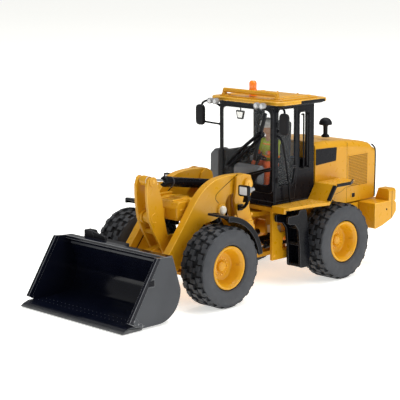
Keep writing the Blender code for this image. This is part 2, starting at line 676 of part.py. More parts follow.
def make_ladder(name, side):
    """Steps between two plates hung from the platform, each with an arm that reaches forward."""
    post = [
        (9.6, 26.2), (9.6, 23.6), (13.4, 22.8), (15.2, 20.6), (16.0, 14.0), (16.4, 6.6), (21.2, 6.6),
        (21.4, 12.0), (19.6, 26.0), (19.2, 27.8), (15.8, 27.8), (15.0, 26.2),
    ]
    plates = [plate(filleted(post, 0.5, 1), "X", x, x + 1.0) for x in (15.6, 21.4)]
    steps = [box((16.0, 16.6, z), (22.2, 20.6, z + 0.9)) for z in (6.8, 14.6, 20.6)]
    back = box((16.2, 18.4, 14.0), (21.8, 19.4, 27.0))
    kick = box((16.2, 20.0, 6.9), (21.8, 20.9, 14.0))
    part(f"ladder_{name}", mirrored(fuse(*plates, *steps, back, kick), side), BLACK)


# ---------------------------------------------------------------- cab

DOOR = [(13.0, 35.6), (21.2, 35.6), (22.6, 42.0), (22.6, 63.4), (13.0, 63.4)]
SIDE_WINDOW = [(24.4, 41.0), (28.8, 41.0), (28.8, 61.6), (24.4, 61.6)]
FAR_WINDOW = [(13.0, 46.0), (30.4, 46.0), (30.4, 63.0), (13.0, 63.0)]


def shrunk(outline, amount):
    """The outline moved in towards its middle, which is near enough for a pane's gap."""
    low = [min(p[i] for p in outline) for i in (0, 1)]
    high = [max(p[i] for p in outline) for i in (0, 1)]
    middle = [(a + b) / 2 for a, b in zip(low, high)]
    scale = [1 - 2 * amount / (b - a) for a, b in zip(low, high)]
    return [tuple(m + (value - m) * s for value, m, s in zip(p, middle, scale)) for p in outline]


def make_cab():
    wide = CAB_HALF_WIDTH
    shell = box((-wide, CAB_FRONT_Y, CAB_FLOOR_Z), (wide, CAB_REAR_Y, CAB_TOP_Z), 0.6)
    inside = box((-wide + CAB_WALL, CAB_FRONT_Y + CAB_WALL, CAB_FLOOR_Z + 2.2),
                 (wide - CAB_WALL, CAB_REAR_Y - CAB_WALL, CAB_TOP_Z - 1.0))
    windows = [plate(filleted(rectangle((-12.6, 33.4), (12.6, 63.2)), 2.0, 3), "Y", 10.0, 13.4)]
    windows.append(plate(filleted(rectangle((-11.6, 43.0), (11.6, 62.6)), 1.5, 2), "Y", 31.0, 35.0))
    windows.append(plate(filleted(DOOR, 0.8, 2), "X", 12.4, 15.0))
    windows.append(plate(filleted(SIDE_WINDOW, 0.6, 2), "X", 12.4, 15.0))
    windows.append(plate(filleted(FAR_WINDOW, 0.8, 2), "X", -15.0, -12.4))
    part("cab_frame", cut(shell, inside, *windows), DARK_GREY)


def make_glazing():
    front = plate(filleted(rectangle((-12.3, 33.7), (12.3, 62.9)), 1.8, 3), "Y", 11.8, 12.2)
    part("windscreen", front, GLASS)
    rear = plate(filleted(rectangle((-11.3, 43.3), (11.3, 62.3)), 1.3, 2), "Y", 32.5, 32.9)
    part("rear_glass", rear, GLASS)
    door = shrunk(filleted(DOOR, 0.8, 2), GAP)
    part("door_glass_left", plate(door, "X", 13.3, 13.6), GLASS)
    far = shrunk(filleted(FAR_WINDOW, 0.8, 2), GAP)
    part("side_glass_right", plate(far, "X", -13.6, -13.3), GLASS)


def make_roof():
    wide = ROOF_HALF_WIDTH
    lower = [
        (-wide + 2, ROOF_FRONT_Y), (wide - 2, ROOF_FRONT_Y),
        (wide, ROOF_FRONT_Y + 2.2), (wide, ROOF_REAR_Y - 1.6),
        (wide - 2, ROOF_REAR_Y), (-wide + 2, ROOF_REAR_Y),
        (-wide, ROOF_REAR_Y - 1.6), (-wide, ROOF_FRONT_Y + 2.2),
    ]
    rim = plate(filleted(lower, 1.2, 2), "Z", CAB_TOP_Z + GAP, 65.7)
    inset = [(x * 0.965, 22.6 + (y - 22.6) * 0.94) for x, y in lower]
    cap = plate(filleted(inset, 1.6, 2), "Z", 65.5, ROOF_TOP_Z)
    rounded_edges(cap, 0.45, 2, 50)
    rails = []
    for _, side in SIDES:
        rails.append(mirrored(box((10.4, 12.6, 66.4), (12.2, 33.0, 67.1), 0.2), side))
    bar_y, bar_z, half = 13.6, 68.5, 13.0
    bends = [
        (-half, bar_y, 67.2), (-half, bar_y, bar_z - 0.6), (-half + 0.6, bar_y, bar_z),
        (half - 0.6, bar_y, bar_z), (half, bar_y, bar_z - 0.6), (half, bar_y, 67.2),
    ]
    part("roof", fuse(rim, cap, *rails), YELLOW)
    part("guard_bar", tube(bends, 0.75, 1), YELLOW, smooth=True)
    beacon = [
        (0, 72.4), (0.7, 72.3), (1.15, 71.7), (1.3, 70.6), (1.3, 68.9), (1.55, 68.8), (1.55, 67.6),
        (1.2, 67.0), (0, 67.0),
    ]
    part("beacon", turned(beacon, "Z", (-1.3, 16.3, 0.1), sides=14), ORANGE, smooth=True)


def make_cab_fittings():
    for name, side in SIDES:
        lamps = [
            box((x - 1.1, 5.2, 64.0), (x + 1.1, 7.4, 66.2), 0.4) for x in (10.2, 12.9)
        ]
        carrier = box((9.6, 7.0, 64.6), (13.6, 9.7, 65.3))
        part(f"work_lights_{name}", mirrored(fuse(carrier, *lamps), side), BLACK)
        face = filleted(rectangle((18.8, 55.3), (22.9, 62.9)), 1.5, 2)
        housing = plate(face, "Y", 8.1, 9.7)
        rounded_edges(housing, 0.35, 1, 50)
        bends = [(20.8, 9.3, 61.6), (19.6, 10.2, 64.0), (17.0, 10.8, 64.3), (14.5, 12.4, 62.8)]
        arm = tube(bends, 0.4, 1)
        stay = tube([(20.8, 9.3, 57.6), (18.6, 10.4, 56.4), (14.5, 12.6, 55.8)], 0.35, 1)
        part(f"mirror_{name}", mirrored(fuse(housing, arm, stay), side), DARK_GREY)
    rail = tube([
        (14.4, 12.2, 54.0), (15.4, 12.3, 53.7), (15.9, 13.4, 52.0), (15.9, 15.4, 44.0),
        (15.9, 16.9, 36.0), (15.9, 17.6, 29.6),
    ], 0.35, 1)
    part("handrail_left", rail, BLACK, smooth=True)
    cover = [(-19.5, 35.6), (-14.3, 34.6), (-14.3, 46.6), (-17.0, 46.6), (-19.3, 44.6)]
    part("side_cover_right", plate(filleted(cover, 1.6, 2), "Y", 12.0, 17.8), DARK_GREY)
    arm_path = [(-10.0, 11.3, 42.0), (-10.0, 10.8, 42.2), (-1.2, 10.7, 48.6), (6.6, 10.8, 53.6)]
    sweep = tube(arm_path, 0.45, 1)
    blade = box((-0.7, 0, 0), (0.7, 0.5, WIPER_BLADE_LENGTH))
    blade.rotation_euler = Euler((0, math.radians(WIPER_BLADE_LEAN), 0))
    blade.location = Vector((6.6, 10.95, 53.4)) * MM
    part("wiper", fuse(sweep, blade), BLACK)


def make_interior():
    floor_z = CAB_FLOOR_Z + 2.2 + GAP
    base = box((-4.6, 21.0, floor_z), (4.6, 29.6, 38.6), 0.8, 2)
    back_profile = filleted([(27.0, 38.0), (30.6, 38.0), (31.4, 56.6), (29.4, 57.0)], 0.9, 2)
    back = plate(back_profile, "X", -4.6, 4.6)
    left_rest = box((-7.4, 21.0, 42.0), (-5.0, 29.4, 44.0), 0.4)
    stem = box((-6.6, 26.4, 36.0), (-4.2, 28.8, 43.0))
    part("seat", fuse(base, back, left_rest, stem), BLACK)
    dash_profile = [(12.9, floor_z), (16.2, floor_z), (17.2, 40.6), (15.6, 42.0), (13.1, 41.0)]
    dash = plate(filleted(dash_profile, 0.5, 2), "X", -8.0, 4.0)
    column = rod((0.5, 15.4, 40.4), STEERING_WHEEL_CENTRE, 0.6, 8)
    grip = [(2.4, 0.3), (2.9, 0.3), (2.9, -0.3), (2.4, -0.3)]
    wheel_ring = turned(grip, "Z", STEERING_WHEEL_CENTRE, 14, True)
    wheel_ring.rotation_euler = Euler((math.radians(-STEERING_WHEEL_TILT), 0, 0))
    spoke = box((-2.7, -0.5, -0.25), (2.7, 0.5, 0.25))
    spoke.rotation_euler = Euler((math.radians(-STEERING_WHEEL_TILT), 0, 0))
    spoke.location = Vector(STEERING_WHEEL_CENTRE) * MM
    part("console", fuse(dash, column, wheel_ring, spoke), BLACK)


def make_operator():
    """A seated figure with a helmet, plain enough to be nobody."""
    torso = ball((0, 24.6, 46.6), 4.0, (1.0, 0.62, 1.35), 6, 8)
    head = ball((0, 22.6, 55.0), 2.0, (0.95, 1.0, 1.15), 6, 8)
    helmet = ball((0, 22.8, 56.6), 2.6, (0.95, 1.1, 0.8), 6, 8)
    neck = rod((0, 23.6, 50.0), (0, 22.9, 54.0), 1.1, 8)
    more = [head, helmet, neck]
    for _, side in SIDES:
        hip, knee = (side * 1.8, 25.0, 41.0), (side * 3.0, 19.4, 41.6)
        foot = (side * 3.2, 18.4, 32.6)
        more.append(rod(hip, knee, 1.5, 6, 1.3))
        more.append(ball(knee, 1.45, (1, 1, 1), 4, 6))
        more.append(rod(knee, foot, 1.25, 6, 1.0))
        more.append(box((side * 3.2 - 1.0, 16.9, 31.2), (side * 3.2 + 1.0, 20.0, 33.0)))
        shoulder, elbow = (side * 3.4, 24.4, 49.4), (side * 4.3, 22.6, 45.6)
        more.append(rod(shoulder, elbow, 1.1, 6, 0.95))
        more.append(ball(elbow, 1.1, (1, 1, 1), 4, 6))
        more.append(rod(elbow, (side * 2.6, 20.0, 46.0), 0.95, 6, 0.8))
    part("operator", fuse(torso, *more), VEST)


# ---------------------------------------------------------------- assembly

def build():
    steer = pivot("steer", (0, HITCH_Y, AXLE_Z))
    arms = pivot("arm_lift", on_x(0, ARM_PIVOT), steer)
    bucket = pivot("bucket_tilt", on_x(0, BUCKET_PIN), arms)
    lever = pivot("lever_tilt", on_x(0, LEVER_PIVOT), arms)
    link = pivot("link_tilt", on_x(0, LEVER_FOOT), lever)
    tilt_rod = pivot("tilt_rod_tilt", on_x(0, LEVER_TOP), lever)
    tilt_barrel = pivot("tilt_barrel_slide", on_x(0, TILT_BASE), tilt_rod)
    rear_axle = pivot("rear_axle_swing", (0, REAR_AXLE_Y, AXLE_Z))

    make_axle("front_axle", FRONT_AXLE_Y, steer)
    make_axle("rear_axle", REAR_AXLE_Y, rear_axle)
    for end, axle_y, carrier in (("front", FRONT_AXLE_Y, steer), ("rear", REAR_AXLE_Y, rear_axle)):
        for name, side in SIDES:
            spin = pivot(f"spin_{end}_{name}", (side * TYRE_X, axle_y, AXLE_Z), carrier)
            make_wheel(f"{end}_{name}", axle_y, side, spin)

    make_front_chassis(steer)
    for name, side in SIDES:
        make_front_fender(name, side, steer)
        make_headlight(name, side, steer)
        lift_rod = pivot(f"lift_rod_{name}_tilt", on_x(side * LIFT_X, LIFT_PIN), arms)
        lift_barrel = pivot(f"lift_barrel_{name}_slide", on_x(side * LIFT_X, LIFT_BASE), lift_rod)
        make_cylinder(f"lift_{name}", (LIFT_PIN, LIFT_BASE), side * LIFT_X, (0.9, 1.9), (18.9, GAP),
                      (lift_rod, lift_barrel))
        steer_rod = pivot(f"steering_rod_{name}_turn", (side * STEER_X, STEER_EYE_Y, STEER_Z), steer)
        steer_base = (side * STEER_X, STEER_BASE_Y, STEER_Z)
        steer_barrel = pivot(f"steering_barrel_{name}_slide", steer_base, steer_rod)
        make_steering_cylinder(name, side, steer_rod, steer_barrel)
    make_lift_arms(arms)
    make_tilt_lever(lever)
    make_tilt_link(link)
    make_cylinder("tilt", (LEVER_TOP, TILT_BASE), 0, (0.8, 1.7), (27.4, 6.0), (tilt_rod, tilt_barrel))
    make_bucket(bucket)

    make_rear_chassis()
    make_counterweight()
    make_hood()
    make_cab()
    make_glazing()
    make_roof()
    make_cab_fittings()
    make_interior()
    make_operator()
    for name, side in SIDES:
        make_platform(name, side)
        make_ladder(name, side)


clear_scene()
PARTS = new_collection("toy_wheel_loader")
CUTTERS = new_collection("cutters")
build()
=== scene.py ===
"""Looks of the 1:50 articulated wheel loader: painted die-cast metal, rubber tyres, clear cab glazing.

-Y is forward (bucket), +X is the loader's left side, +Z is up. Shapes are made in millimetres.
"""

import math

import bmesh
import bpy
from mathutils import Matrix, Quaternion, Vector


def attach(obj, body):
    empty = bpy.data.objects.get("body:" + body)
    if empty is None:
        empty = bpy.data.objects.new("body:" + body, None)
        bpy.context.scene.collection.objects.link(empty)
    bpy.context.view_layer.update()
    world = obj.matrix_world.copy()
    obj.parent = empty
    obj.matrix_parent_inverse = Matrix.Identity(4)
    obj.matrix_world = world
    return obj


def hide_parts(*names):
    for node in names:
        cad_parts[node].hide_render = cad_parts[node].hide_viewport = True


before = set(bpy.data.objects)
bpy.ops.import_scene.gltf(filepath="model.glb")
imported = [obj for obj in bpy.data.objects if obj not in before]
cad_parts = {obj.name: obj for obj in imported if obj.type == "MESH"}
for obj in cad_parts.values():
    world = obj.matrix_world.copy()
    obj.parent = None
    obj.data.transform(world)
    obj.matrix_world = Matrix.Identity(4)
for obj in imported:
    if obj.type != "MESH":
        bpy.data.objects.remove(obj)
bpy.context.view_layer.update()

MM = 0.001
BOTH = (1, -1)
SIDES = (("left", 1), ("right", -1))
# pin centres in (Y, Z)
ARM_PIVOT = (-1.35, 38.4)
LIFT_PIN = (-12.8, 30.5)
LIFT_BASE = (-0.8, 12)
LEVER_PIVOT = (-36.8, 29.8)
LEVER_TOP = (-37.6, 42.4)
LEVER_FOOT = (-31, 17.8)
BUCKET_PIN = (-43, 8.2)
LINK_PIN = (-44.6, 15.6)
TILT_BASE = (-2.5, 36.9)
# places and sizes that more than one piece shares
AXLES = (("front", "front_frame", -24), ("rear", "rear_axle", 36))
AXLE_Z = 14
TYRE_X = 21.53
FENDER_CENTRE = (-25, AXLE_Z)
HITCH_Y = 6
STEERING_X = 8.6
STEERING_EYE_Y = 4.6
HOOD_HALF = 14
ROOF_MIDDLE_Y = 23.1
GUARD_Y = 13.6
BEACON = (-1.3, 16.3, 0.1)
CLEANER = (8, 46, 0.1)
STEERING_WHEEL = (0.5, 18, 44.6)
STEERING_WHEEL_TILT = -32
WIPER_LEAN = 17
LOUVRE_LEAN = 32
# angles in degrees over which an edge is rounded, or shaded as sharp
ROUNDED_OVER = 35
SHARP_OVER = 42
ALONG = {"X": Matrix.Rotation(math.pi / 2, 4, "Y"), "Y": Matrix.Rotation(-math.pi / 2, 4, "X"), "Z": Matrix()}


# ---------------------------------------------------------------- materials

def surface(name, dark, light, rough, metal=0, coat=0, shine=0.5, patch=90, grain=2600, bump=0.12, alpha=1,
        glow=0):
    """A finish whose colour drifts from dark to light in soft patches, over a fine grain.

    rough is the least and the most roughness, shine the reflection seen straight on, and bump the strength
    of the grain's relief.
    """
    made = bpy.data.materials.new(name)
    made.use_nodes = True
    nodes, links = made.node_tree.nodes, made.node_tree.links
    shader = nodes["Principled BSDF"]
    shader.inputs["Metallic"].default_value = metal
    shader.inputs["Coat Weight"].default_value = coat
    shader.inputs["Coat Roughness"].default_value = 0.05
    shader.inputs["Alpha"].default_value = alpha
    shader.inputs["Specular IOR Level"].default_value = shine
    if glow:
        shader.inputs["Emission Color"].default_value = (*light, 1)
        shader.inputs["Emission Strength"].default_value = glow
    place = nodes.new("ShaderNodeTexCoord").outputs["Object"]

    def noise(scale, detail):
        made_noise = nodes.new("ShaderNodeTexNoise")
        made_noise.inputs["Scale"].default_value = scale
        made_noise.inputs["Detail"].default_value = detail
        links.new(place, made_noise.inputs["Vector"])
        return made_noise.outputs["Fac"]

    ramp = nodes.new("ShaderNodeValToRGB")
    ramp.color_ramp.elements[0].position = 0.35
    ramp.color_ramp.elements[1].position = 0.65
    ramp.color_ramp.elements[0].color = (*dark, 1)
    ramp.color_ramp.elements[1].color = (*light, 1)
    links.new(noise(patch, 3), ramp.inputs["Fac"])
    links.new(ramp.outputs["Color"], shader.inputs["Base Color"])
    spread = nodes.new("ShaderNodeMapRange")
    spread.inputs["From Min"].default_value = 0.3
    spread.inputs["From Max"].default_value = 0.7
    spread.inputs["To Min"].default_value = rough[0]
    spread.inputs["To Max"].default_value = rough[1]
    links.new(noise(grain / 6, 2), spread.inputs["Value"])
    links.new(spread.outputs["Result"], shader.inputs["Roughness"])
    relief = nodes.new("ShaderNodeBump")
    relief.inputs["Strength"].default_value = bump
    relief.inputs["Distance"].default_value = 0.00005
    links.new(noise(grain, 3), relief.inputs["Height"])
    links.new(relief.outputs["Normal"], shader.inputs["Normal"])
    return made


PAINT = surface("yellow_enamel", (0.64, 0.305, 0.007), (0.69, 0.335, 0.009), (0.26, 0.36), coat=0.05,
    shine=0.35, bump=0.08)
# lighter, glossier yellow on rounded edges, bolts and small raised parts is a painted highlight
PAINT_HIGHLIGHT = surface("yellow_enamel_painted_highlight", (0.80, 0.42, 0.03), (0.86, 0.47, 0.045), (0.22, 0.32), coat=0.3,
    bump=0.08)
BLACK = surface("black_enamel", (0.003, 0.0033, 0.005), (0.005, 0.0055, 0.008), (0.20, 0.30), shine=0.12,
    bump=0.1)
# lighter black on rounded edges, bands and small raised parts is a painted highlight
BLACK_HIGHLIGHT = surface("black_enamel_painted_highlight", (0.030, 0.032, 0.037), (0.050, 0.052, 0.058), (0.3, 0.4),
    shine=0.25, bump=0.1)
# the bucket's inside: the same black paint as outside, near black as painted shade
BUCKET_IN_SHADED = surface("bucket_inside_painted_shade", (0.002, 0.003, 0.008), (0.004, 0.005, 0.011), (0.10, 0.18), shine=0.22,
    bump=0.05)
# the bucket's outside: the same black paint, lighter grey as painted sheen
BUCKET_OUT_SHEEN = surface("bucket_outside_painted_sheen", (0.042, 0.045, 0.052), (0.054, 0.058, 0.066), (0.40, 0.50), shine=0.3,
    bump=0.25)
# light grey on the bucket's rounded edges and bolts is a painted highlight
BUCKET_EDGE_HIGHLIGHT = surface("bucket_edge_painted_highlight", (0.16, 0.165, 0.175), (0.22, 0.225, 0.235), (0.35, 0.5), bump=0.2)
STEEL = surface("edge_steel", (0.050, 0.052, 0.056), (0.085, 0.086, 0.090), (0.32, 0.48), metal=0.2, bump=0.3,
    patch=300)
GREY = surface("cab_grey", (0.003, 0.0033, 0.006), (0.006, 0.0065, 0.010), (0.24, 0.34), shine=0.12,
    bump=0.15)
PLASTIC = surface("black_moulding", (0.005, 0.005, 0.007), (0.010, 0.010, 0.013), (0.40, 0.54), shine=0.18,
    bump=0.35)
RUBBER = surface("tyre_rubber", (0.040, 0.043, 0.050), (0.052, 0.055, 0.063), (0.62, 0.78), bump=0.5,
    grain=3200)
TREAD = surface("tread_rubber", (0.020, 0.022, 0.026), (0.032, 0.034, 0.040), (0.5, 0.65), bump=0.5,
    grain=3200)
# near black rubber between the tread blocks is painted shade in the grooves
GROOVE_SHADE = surface("groove_painted_shade", (0.002, 0.002, 0.003), (0.004, 0.004, 0.005), (0.8, 0.9), bump=0.4,
    grain=3200)
CHROME = surface("chrome", (0.80, 0.79, 0.77), (0.88, 0.87, 0.84), (0.12, 0.22), metal=1, bump=0.06)
PIN = surface("pin_head", (0.86, 0.80, 0.68), (0.95, 0.90, 0.79), (0.16, 0.26), coat=0.3, bump=0.06)
GLASS = surface("clear_glazing", (0.30, 0.32, 0.34), (0.38, 0.40, 0.42), (0.02, 0.05), bump=0.01, alpha=0.06)
LENS = surface("lamp_lens", (0.80, 0.81, 0.83), (0.93, 0.93, 0.94), (0.08, 0.16), bump=0.3, grain=1800,
    coat=0.4)
# the amber lenses and strips glow faintly, though nothing lights them: a painted glow
AMBER_GLOWING = surface("amber_lens_painted_glow", (0.95, 0.20, 0.004), (1, 0.29, 0.010), (0.12, 0.2), coat=0.5, bump=0.1,
    glow=0.12)
RED_LENS = surface("tail_lens", (0.45, 0.012, 0.01), (0.60, 0.02, 0.015), (0.12, 0.2), coat=0.5, bump=0.2)
# a brownish sheet behind the grille bars is painted shade of the recess behind them
GRILLE_SHADE_SHEET = surface("grille_backing_painted_shade", (0.10, 0.055, 0.012), (0.15, 0.080, 0.016), (0.6, 0.8), bump=0.2)
SILVER = surface("silver_paint", (0.36, 0.37, 0.38), (0.46, 0.47, 0.48), (0.3, 0.42), metal=0.5, bump=0.15)
ARMREST = surface("grey_moulding", (0.20, 0.21, 0.23), (0.27, 0.28, 0.30), (0.45, 0.55), bump=0.3)
COVER = surface("cover_grey", (0.085, 0.09, 0.10), (0.12, 0.125, 0.135), (0.4, 0.5), bump=0.2)
HOSE = surface("brown_hose", (0.10, 0.055, 0.03), (0.16, 0.09, 0.05), (0.45, 0.6), bump=0.3)
SAND = surface("sand_casting", (0.50, 0.36, 0.20), (0.60, 0.45, 0.27), (0.4, 0.5), bump=0.2)
VEST = surface("hi_vis_vest", (0.50, 0.62, 0.02), (0.60, 0.74, 0.05), (0.5, 0.65), bump=0.4)
TROUSERS = surface("orange_trousers", (0.80, 0.10, 0.01), (0.92, 0.15, 0.02), (0.5, 0.65), bump=0.4)
SKIN = surface("skin_paint", (0.50, 0.27, 0.16), (0.57, 0.32, 0.20), (0.5, 0.6), bump=0.15)
HELMET = surface("helmet_paint", (0.66, 0.66, 0.64), (0.76, 0.76, 0.74), (0.3, 0.4), bump=0.1)

# a look for faces with one for their rounded edges, which carry a painted highlight; the bucket's outside
# look also carries painted sheen, and its inside look painted shade
YELLOW = (PAINT, PAINT_HIGHLIGHT)
DARK = (BLACK, BLACK_HIGHLIGHT)
CAB_GREY = (GREY, BLACK_HIGHLIGHT)
MOULDED = (PLASTIC, BLACK_HIGHLIGHT)
BUCKET_SHEEN_LOOK = (BUCKET_OUT_SHEEN, BUCKET_EDGE_HIGHLIGHT)
BUCKET_SHADE_LOOK = (BUCKET_IN_SHADED, BUCKET_EDGE_HIGHLIGHT)


# ---------------------------------------------------------------- shapes, in millimetres

def rounded(shape, width, segments=2, angle=30):
    """The shape with its sharp edges rounded, the new faces marked so that they can take a lighter finish as
    a painted highlight.
    """
    if width:
        sharp = [
            edge for edge in shape.edges
            if len(edge.link_faces) == 2 and edge.calc_face_angle() > math.radians(angle)
        ]
        bmesh.ops.bevel(shape, geom=sharp, offset=width, segments=segments, profile=0.5, affect="EDGES",
            clamp_overlap=True, material=1)
    return shape


def turned_by(shape, degrees, axis):
    """The shape turned about an axis through the origin."""
    turn = Matrix.Rotation(math.radians(degrees), 3, axis)
    bmesh.ops.rotate(shape, cent=Vector((0, 0, 0)), matrix=turn, verts=shape.verts)
    return shape


def moved(shape, offset):
    bmesh.ops.translate(shape, vec=Vector(offset), verts=shape.verts)
    return shape


def mirror(shape):
    for vert in shape.verts:
        vert.co.x = -vert.co.x
    bmesh.ops.reverse_faces(shape, faces=shape.faces)


def copy_into(target, shape):
    data = bpy.data.meshes.new("part")
    shape.to_mesh(data)
    target.from_mesh(data)
    bpy.data.meshes.remove(data)


def merged(*shapes):
    """Several shapes as one, with no union."""
    base = shapes[0]
    for shape in shapes[1:]:
        copy_into(base, shape)
        shape.free()
    return base


def box(low, high, soft=0.12, segments=2):
    low, high = Vector(low), Vector(high)
    shape = bmesh.new()
    size = Matrix.Diagonal((*(high - low), 1))
    bmesh.ops.create_cube(shape, size=1, matrix=Matrix.Translation((low + high) / 2) @ size)
    return rounded(shape, soft, segments)


def rod(start, end, radius, end_radius=None, sides=24, soft=0):
    a, b = Vector(start), Vector(end)
    shape = bmesh.new()
    turn = (b - a).to_track_quat("Z", "Y").to_matrix().to_4x4()
    bmesh.ops.create_cone(shape, cap_ends=True, segments=sides, radius1=radius,
        radius2=radius if end_radius is None else end_radius, depth=(b - a).length,
        matrix=Matrix.Translation((a + b) / 2) @ turn)
    return rounded(shape, soft, angle=50)


def disc(pin, low, high, radius, sides=24, soft=0):
    """A disc or pin from low to high along X, round a pin centre (Y, Z)."""
    return rod((low, *pin), (high, *pin), radius, None, sides, soft)


def ball(centre, radius, squash=(1, 1, 1), rings=16, sides=24):
    shape = bmesh.new()
    scale = Matrix.Diagonal((*squash, 1))
    bmesh.ops.create_uvsphere(shape, u_segments=sides, v_segments=rings, radius=radius,
        matrix=Matrix.Translation(centre) @ scale)
    return shape


def turned(profile, axis, centre, steps=48, ring=False):
    """A profile of (radius, distance along the axis) turned once round."""
    shape = bmesh.new()
    verts = [shape.verts.new((radius, 0, along)) for radius, along in profile]
    pairs = list(zip(verts, verts[1:]))
    if ring:
        pairs.append((verts[-1], verts[0]))
    edges = [shape.edges.new(pair) for pair in pairs]
    bmesh.ops.spin(shape, geom=verts + edges, cent=(0, 0, 0), axis=(0, 0, 1), angle=math.tau, steps=steps,
        use_merge=True)
    bmesh.ops.remove_doubles(shape, verts=shape.verts, dist=0.001)
    bmesh.ops.recalc_face_normals(shape, faces=shape.faces)
    shape.transform(Matrix.Translation(centre) @ ALONG[axis])
    return shape


def plate(outline, axis, low, high, soft=0.1, holes=(), segments=2):
    """A flat outline in the two other axes, in X, Y, Z order, that is low to high thick along one axis."""
    shape = bmesh.new()
    edges = []
    for points in (outline, *holes):
        verts = [shape.verts.new((u, v, 0)) for u, v in points]
        edges += [shape.edges.new((a, b)) for a, b in zip(verts, verts[1:] + verts[:1])]
    if holes:
        bmesh.ops.triangle_fill(shape, use_beauty=True, use_dissolve=False, edges=edges)
    else:
        shape.faces.new(shape.verts)
    made = bmesh.ops.extrude_face_region(shape, geom=list(shape.faces))["geom"]
    top = [item for item in made if isinstance(item, bmesh.types.BMVert)]
    bmesh.ops.translate(shape, vec=(0, 0, high - low), verts=top)
    bmesh.ops.recalc_face_normals(shape, faces=shape.faces)
    if holes:
        bmesh.ops.dissolve_limit(shape, angle_limit=0.01, verts=shape.verts, edges=shape.edges)
    for vert in shape.verts:
        u, v, w = vert.co
        vert.co = {"X": (w + low, u, v), "Y": (u, w + low, v), "Z": (u, v, w + low)}[axis]
    bmesh.ops.recalc_face_normals(shape, faces=shape.faces)
    return rounded(shape, soft, segments)


def smooth_path(points, steps=6):
    """A Catmull-Rom curve through the points."""
    path = [Vector(point) for point in points]
    ends = [2 * path[0] - path[1]] + path + [2 * path[-1] - path[-2]]
    made = []
    for i in range(1, len(ends) - 2):
        a, b, c, d = ends[i - 1:i + 3]
        for k in range(steps):
            t = k / steps
            square, cube = 2 * a - 5 * b + 4 * c - d, 3 * b - a - 3 * c + d
            made.append(0.5 * (2 * b + (c - a) * t + square * t ** 2 + cube * t ** 3))
    return made + [path[-1]]


def tube(points, radius, sides=10, steps=6):
    """A round bar, hose or wire along points; steps 1 leaves its corners sharp."""
    path = smooth_path(points, steps) if steps > 1 else [Vector(point) for point in points]
    shape = bmesh.new()
    across = (path[1] - path[0]).orthogonal()
    rings = []
    for i, place in enumerate(path):
        ahead = (path[min(i + 1, len(path) - 1)] - path[max(i - 1, 0)]).normalized()
        across = (across - ahead * across.dot(ahead)).normalized()
        other = ahead.cross(across)
        turns = [math.tau * k / sides for k in range(sides)]
        rings.append([shape.verts.new(place + radius * (math.cos(t) * across + math.sin(t) * other))
            for t in turns])
    for near, far in zip(rings, rings[1:]):
        for k in range(sides):
            shape.faces.new((near[k], near[(k + 1) % sides], far[(k + 1) % sides], far[k]))
    shape.faces.new(rings[0][::-1])
    shape.faces.new(rings[-1])
    return shape


def bolt(centre, axis, radius, height, sides=6):
    """A hexagon head on a washer, standing out along the axis."""
    centre = Vector(centre)
    out = Vector(axis)
    washer = rod(centre - out * 0.1, centre + out * height * 0.3, radius * 1.35, sides=12)
    head = rod(centre, centre + out * height, radius, sides=sides, soft=radius * 0.15)
    return merged(washer, head)


def cad(*nodes, soft=0.12, segments=2, flat=1):
    """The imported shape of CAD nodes, with its flat faces whole again and its edges rounded."""
    shape = bmesh.new()
    for node in nodes:
        shape.from_mesh(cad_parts[node].data)
    bmesh.ops.scale(shape, vec=(1 / MM,) * 3, verts=shape.verts)
    bmesh.ops.remove_doubles(shape, verts=shape.verts, dist=0.002)
    bmesh.ops.dissolve_limit(shape, angle_limit=math.radians(flat), verts=shape.verts, edges=shape.edges)
    for face in shape.faces:
        face.material_index = 0
    return rounded(shape, soft, segments, angle=ROUNDED_OVER)


# ---------------------------------------------------------------- outlines

def arc(centre, radius, start, end, steps=12):
    """Points on a circle from one angle to another, in degrees."""
    turns = [math.radians(start + (end - start) * i / steps) for i in range(steps + 1)]
    return [(centre[0] + radius * math.cos(t), centre[1] + radius * math.sin(t)) for t in turns]


def around(count, radius, start=0):
    """Points evenly spaced round a circle, start being a share of the space between two."""
    turns = [math.tau * (i + start) / count for i in range(count)]
    return [(radius * math.cos(t), radius * math.sin(t)) for t in turns]


def circle(centre, radius, steps=24):
    return arc(centre, radius, 0, 360 * (steps - 1) / steps, steps - 1)


def rectangle(low, high):
    return [(low[0], low[1]), (high[0], low[1]), (high[0], high[1]), (low[0], high[1])]


def filleted(points, radius, steps=5):
    """The outline with each corner rounded, by less where an edge is short."""
    made = []
    for i, point in enumerate(points):
        here = Vector(point)
        back = Vector(points[i - 1]) - here
        ahead = Vector(points[(i + 1) % len(points)]) - here
        half = back.angle(ahead) / 2
        reach = min(radius / math.tan(half), back.length * 0.48, ahead.length * 0.48)
        first = here + back.normalized() * reach
        last = here + ahead.normalized() * reach
        for k in range(steps + 1):
            t = k / steps
            made.append(tuple((1 - t) ** 2 * first + 2 * t * (1 - t) * here + t ** 2 * last))
    return made


def panel(low, high, radius, steps=5):
    return filleted(rectangle(low, high), radius, steps)


def band(points, width):
    """The outline of a line of a width along points in a plane."""
    path = [Vector(point) for point in points]
    left, right = [], []
    for i, place in enumerate(path):
        ahead = (path[min(i + 1, len(path) - 1)] - path[max(i - 1, 0)]).normalized()
        out = Vector((-ahead.y, ahead.x)) * width / 2
        left.append(tuple(place + out))
        right.append(tuple(place - out))
    return left + right[::-1]


def capsule(a, b, radius, steps=10):
    """The outline round two points, such as a link's."""
    heading = math.degrees(math.atan2(b[1] - a[1], b[0] - a[0]))
    return arc(b, radius, heading - 90, heading + 90, steps) + arc(a, radius, heading + 90, heading + 270,
        steps)


# ---------------------------------------------------------------- pieces

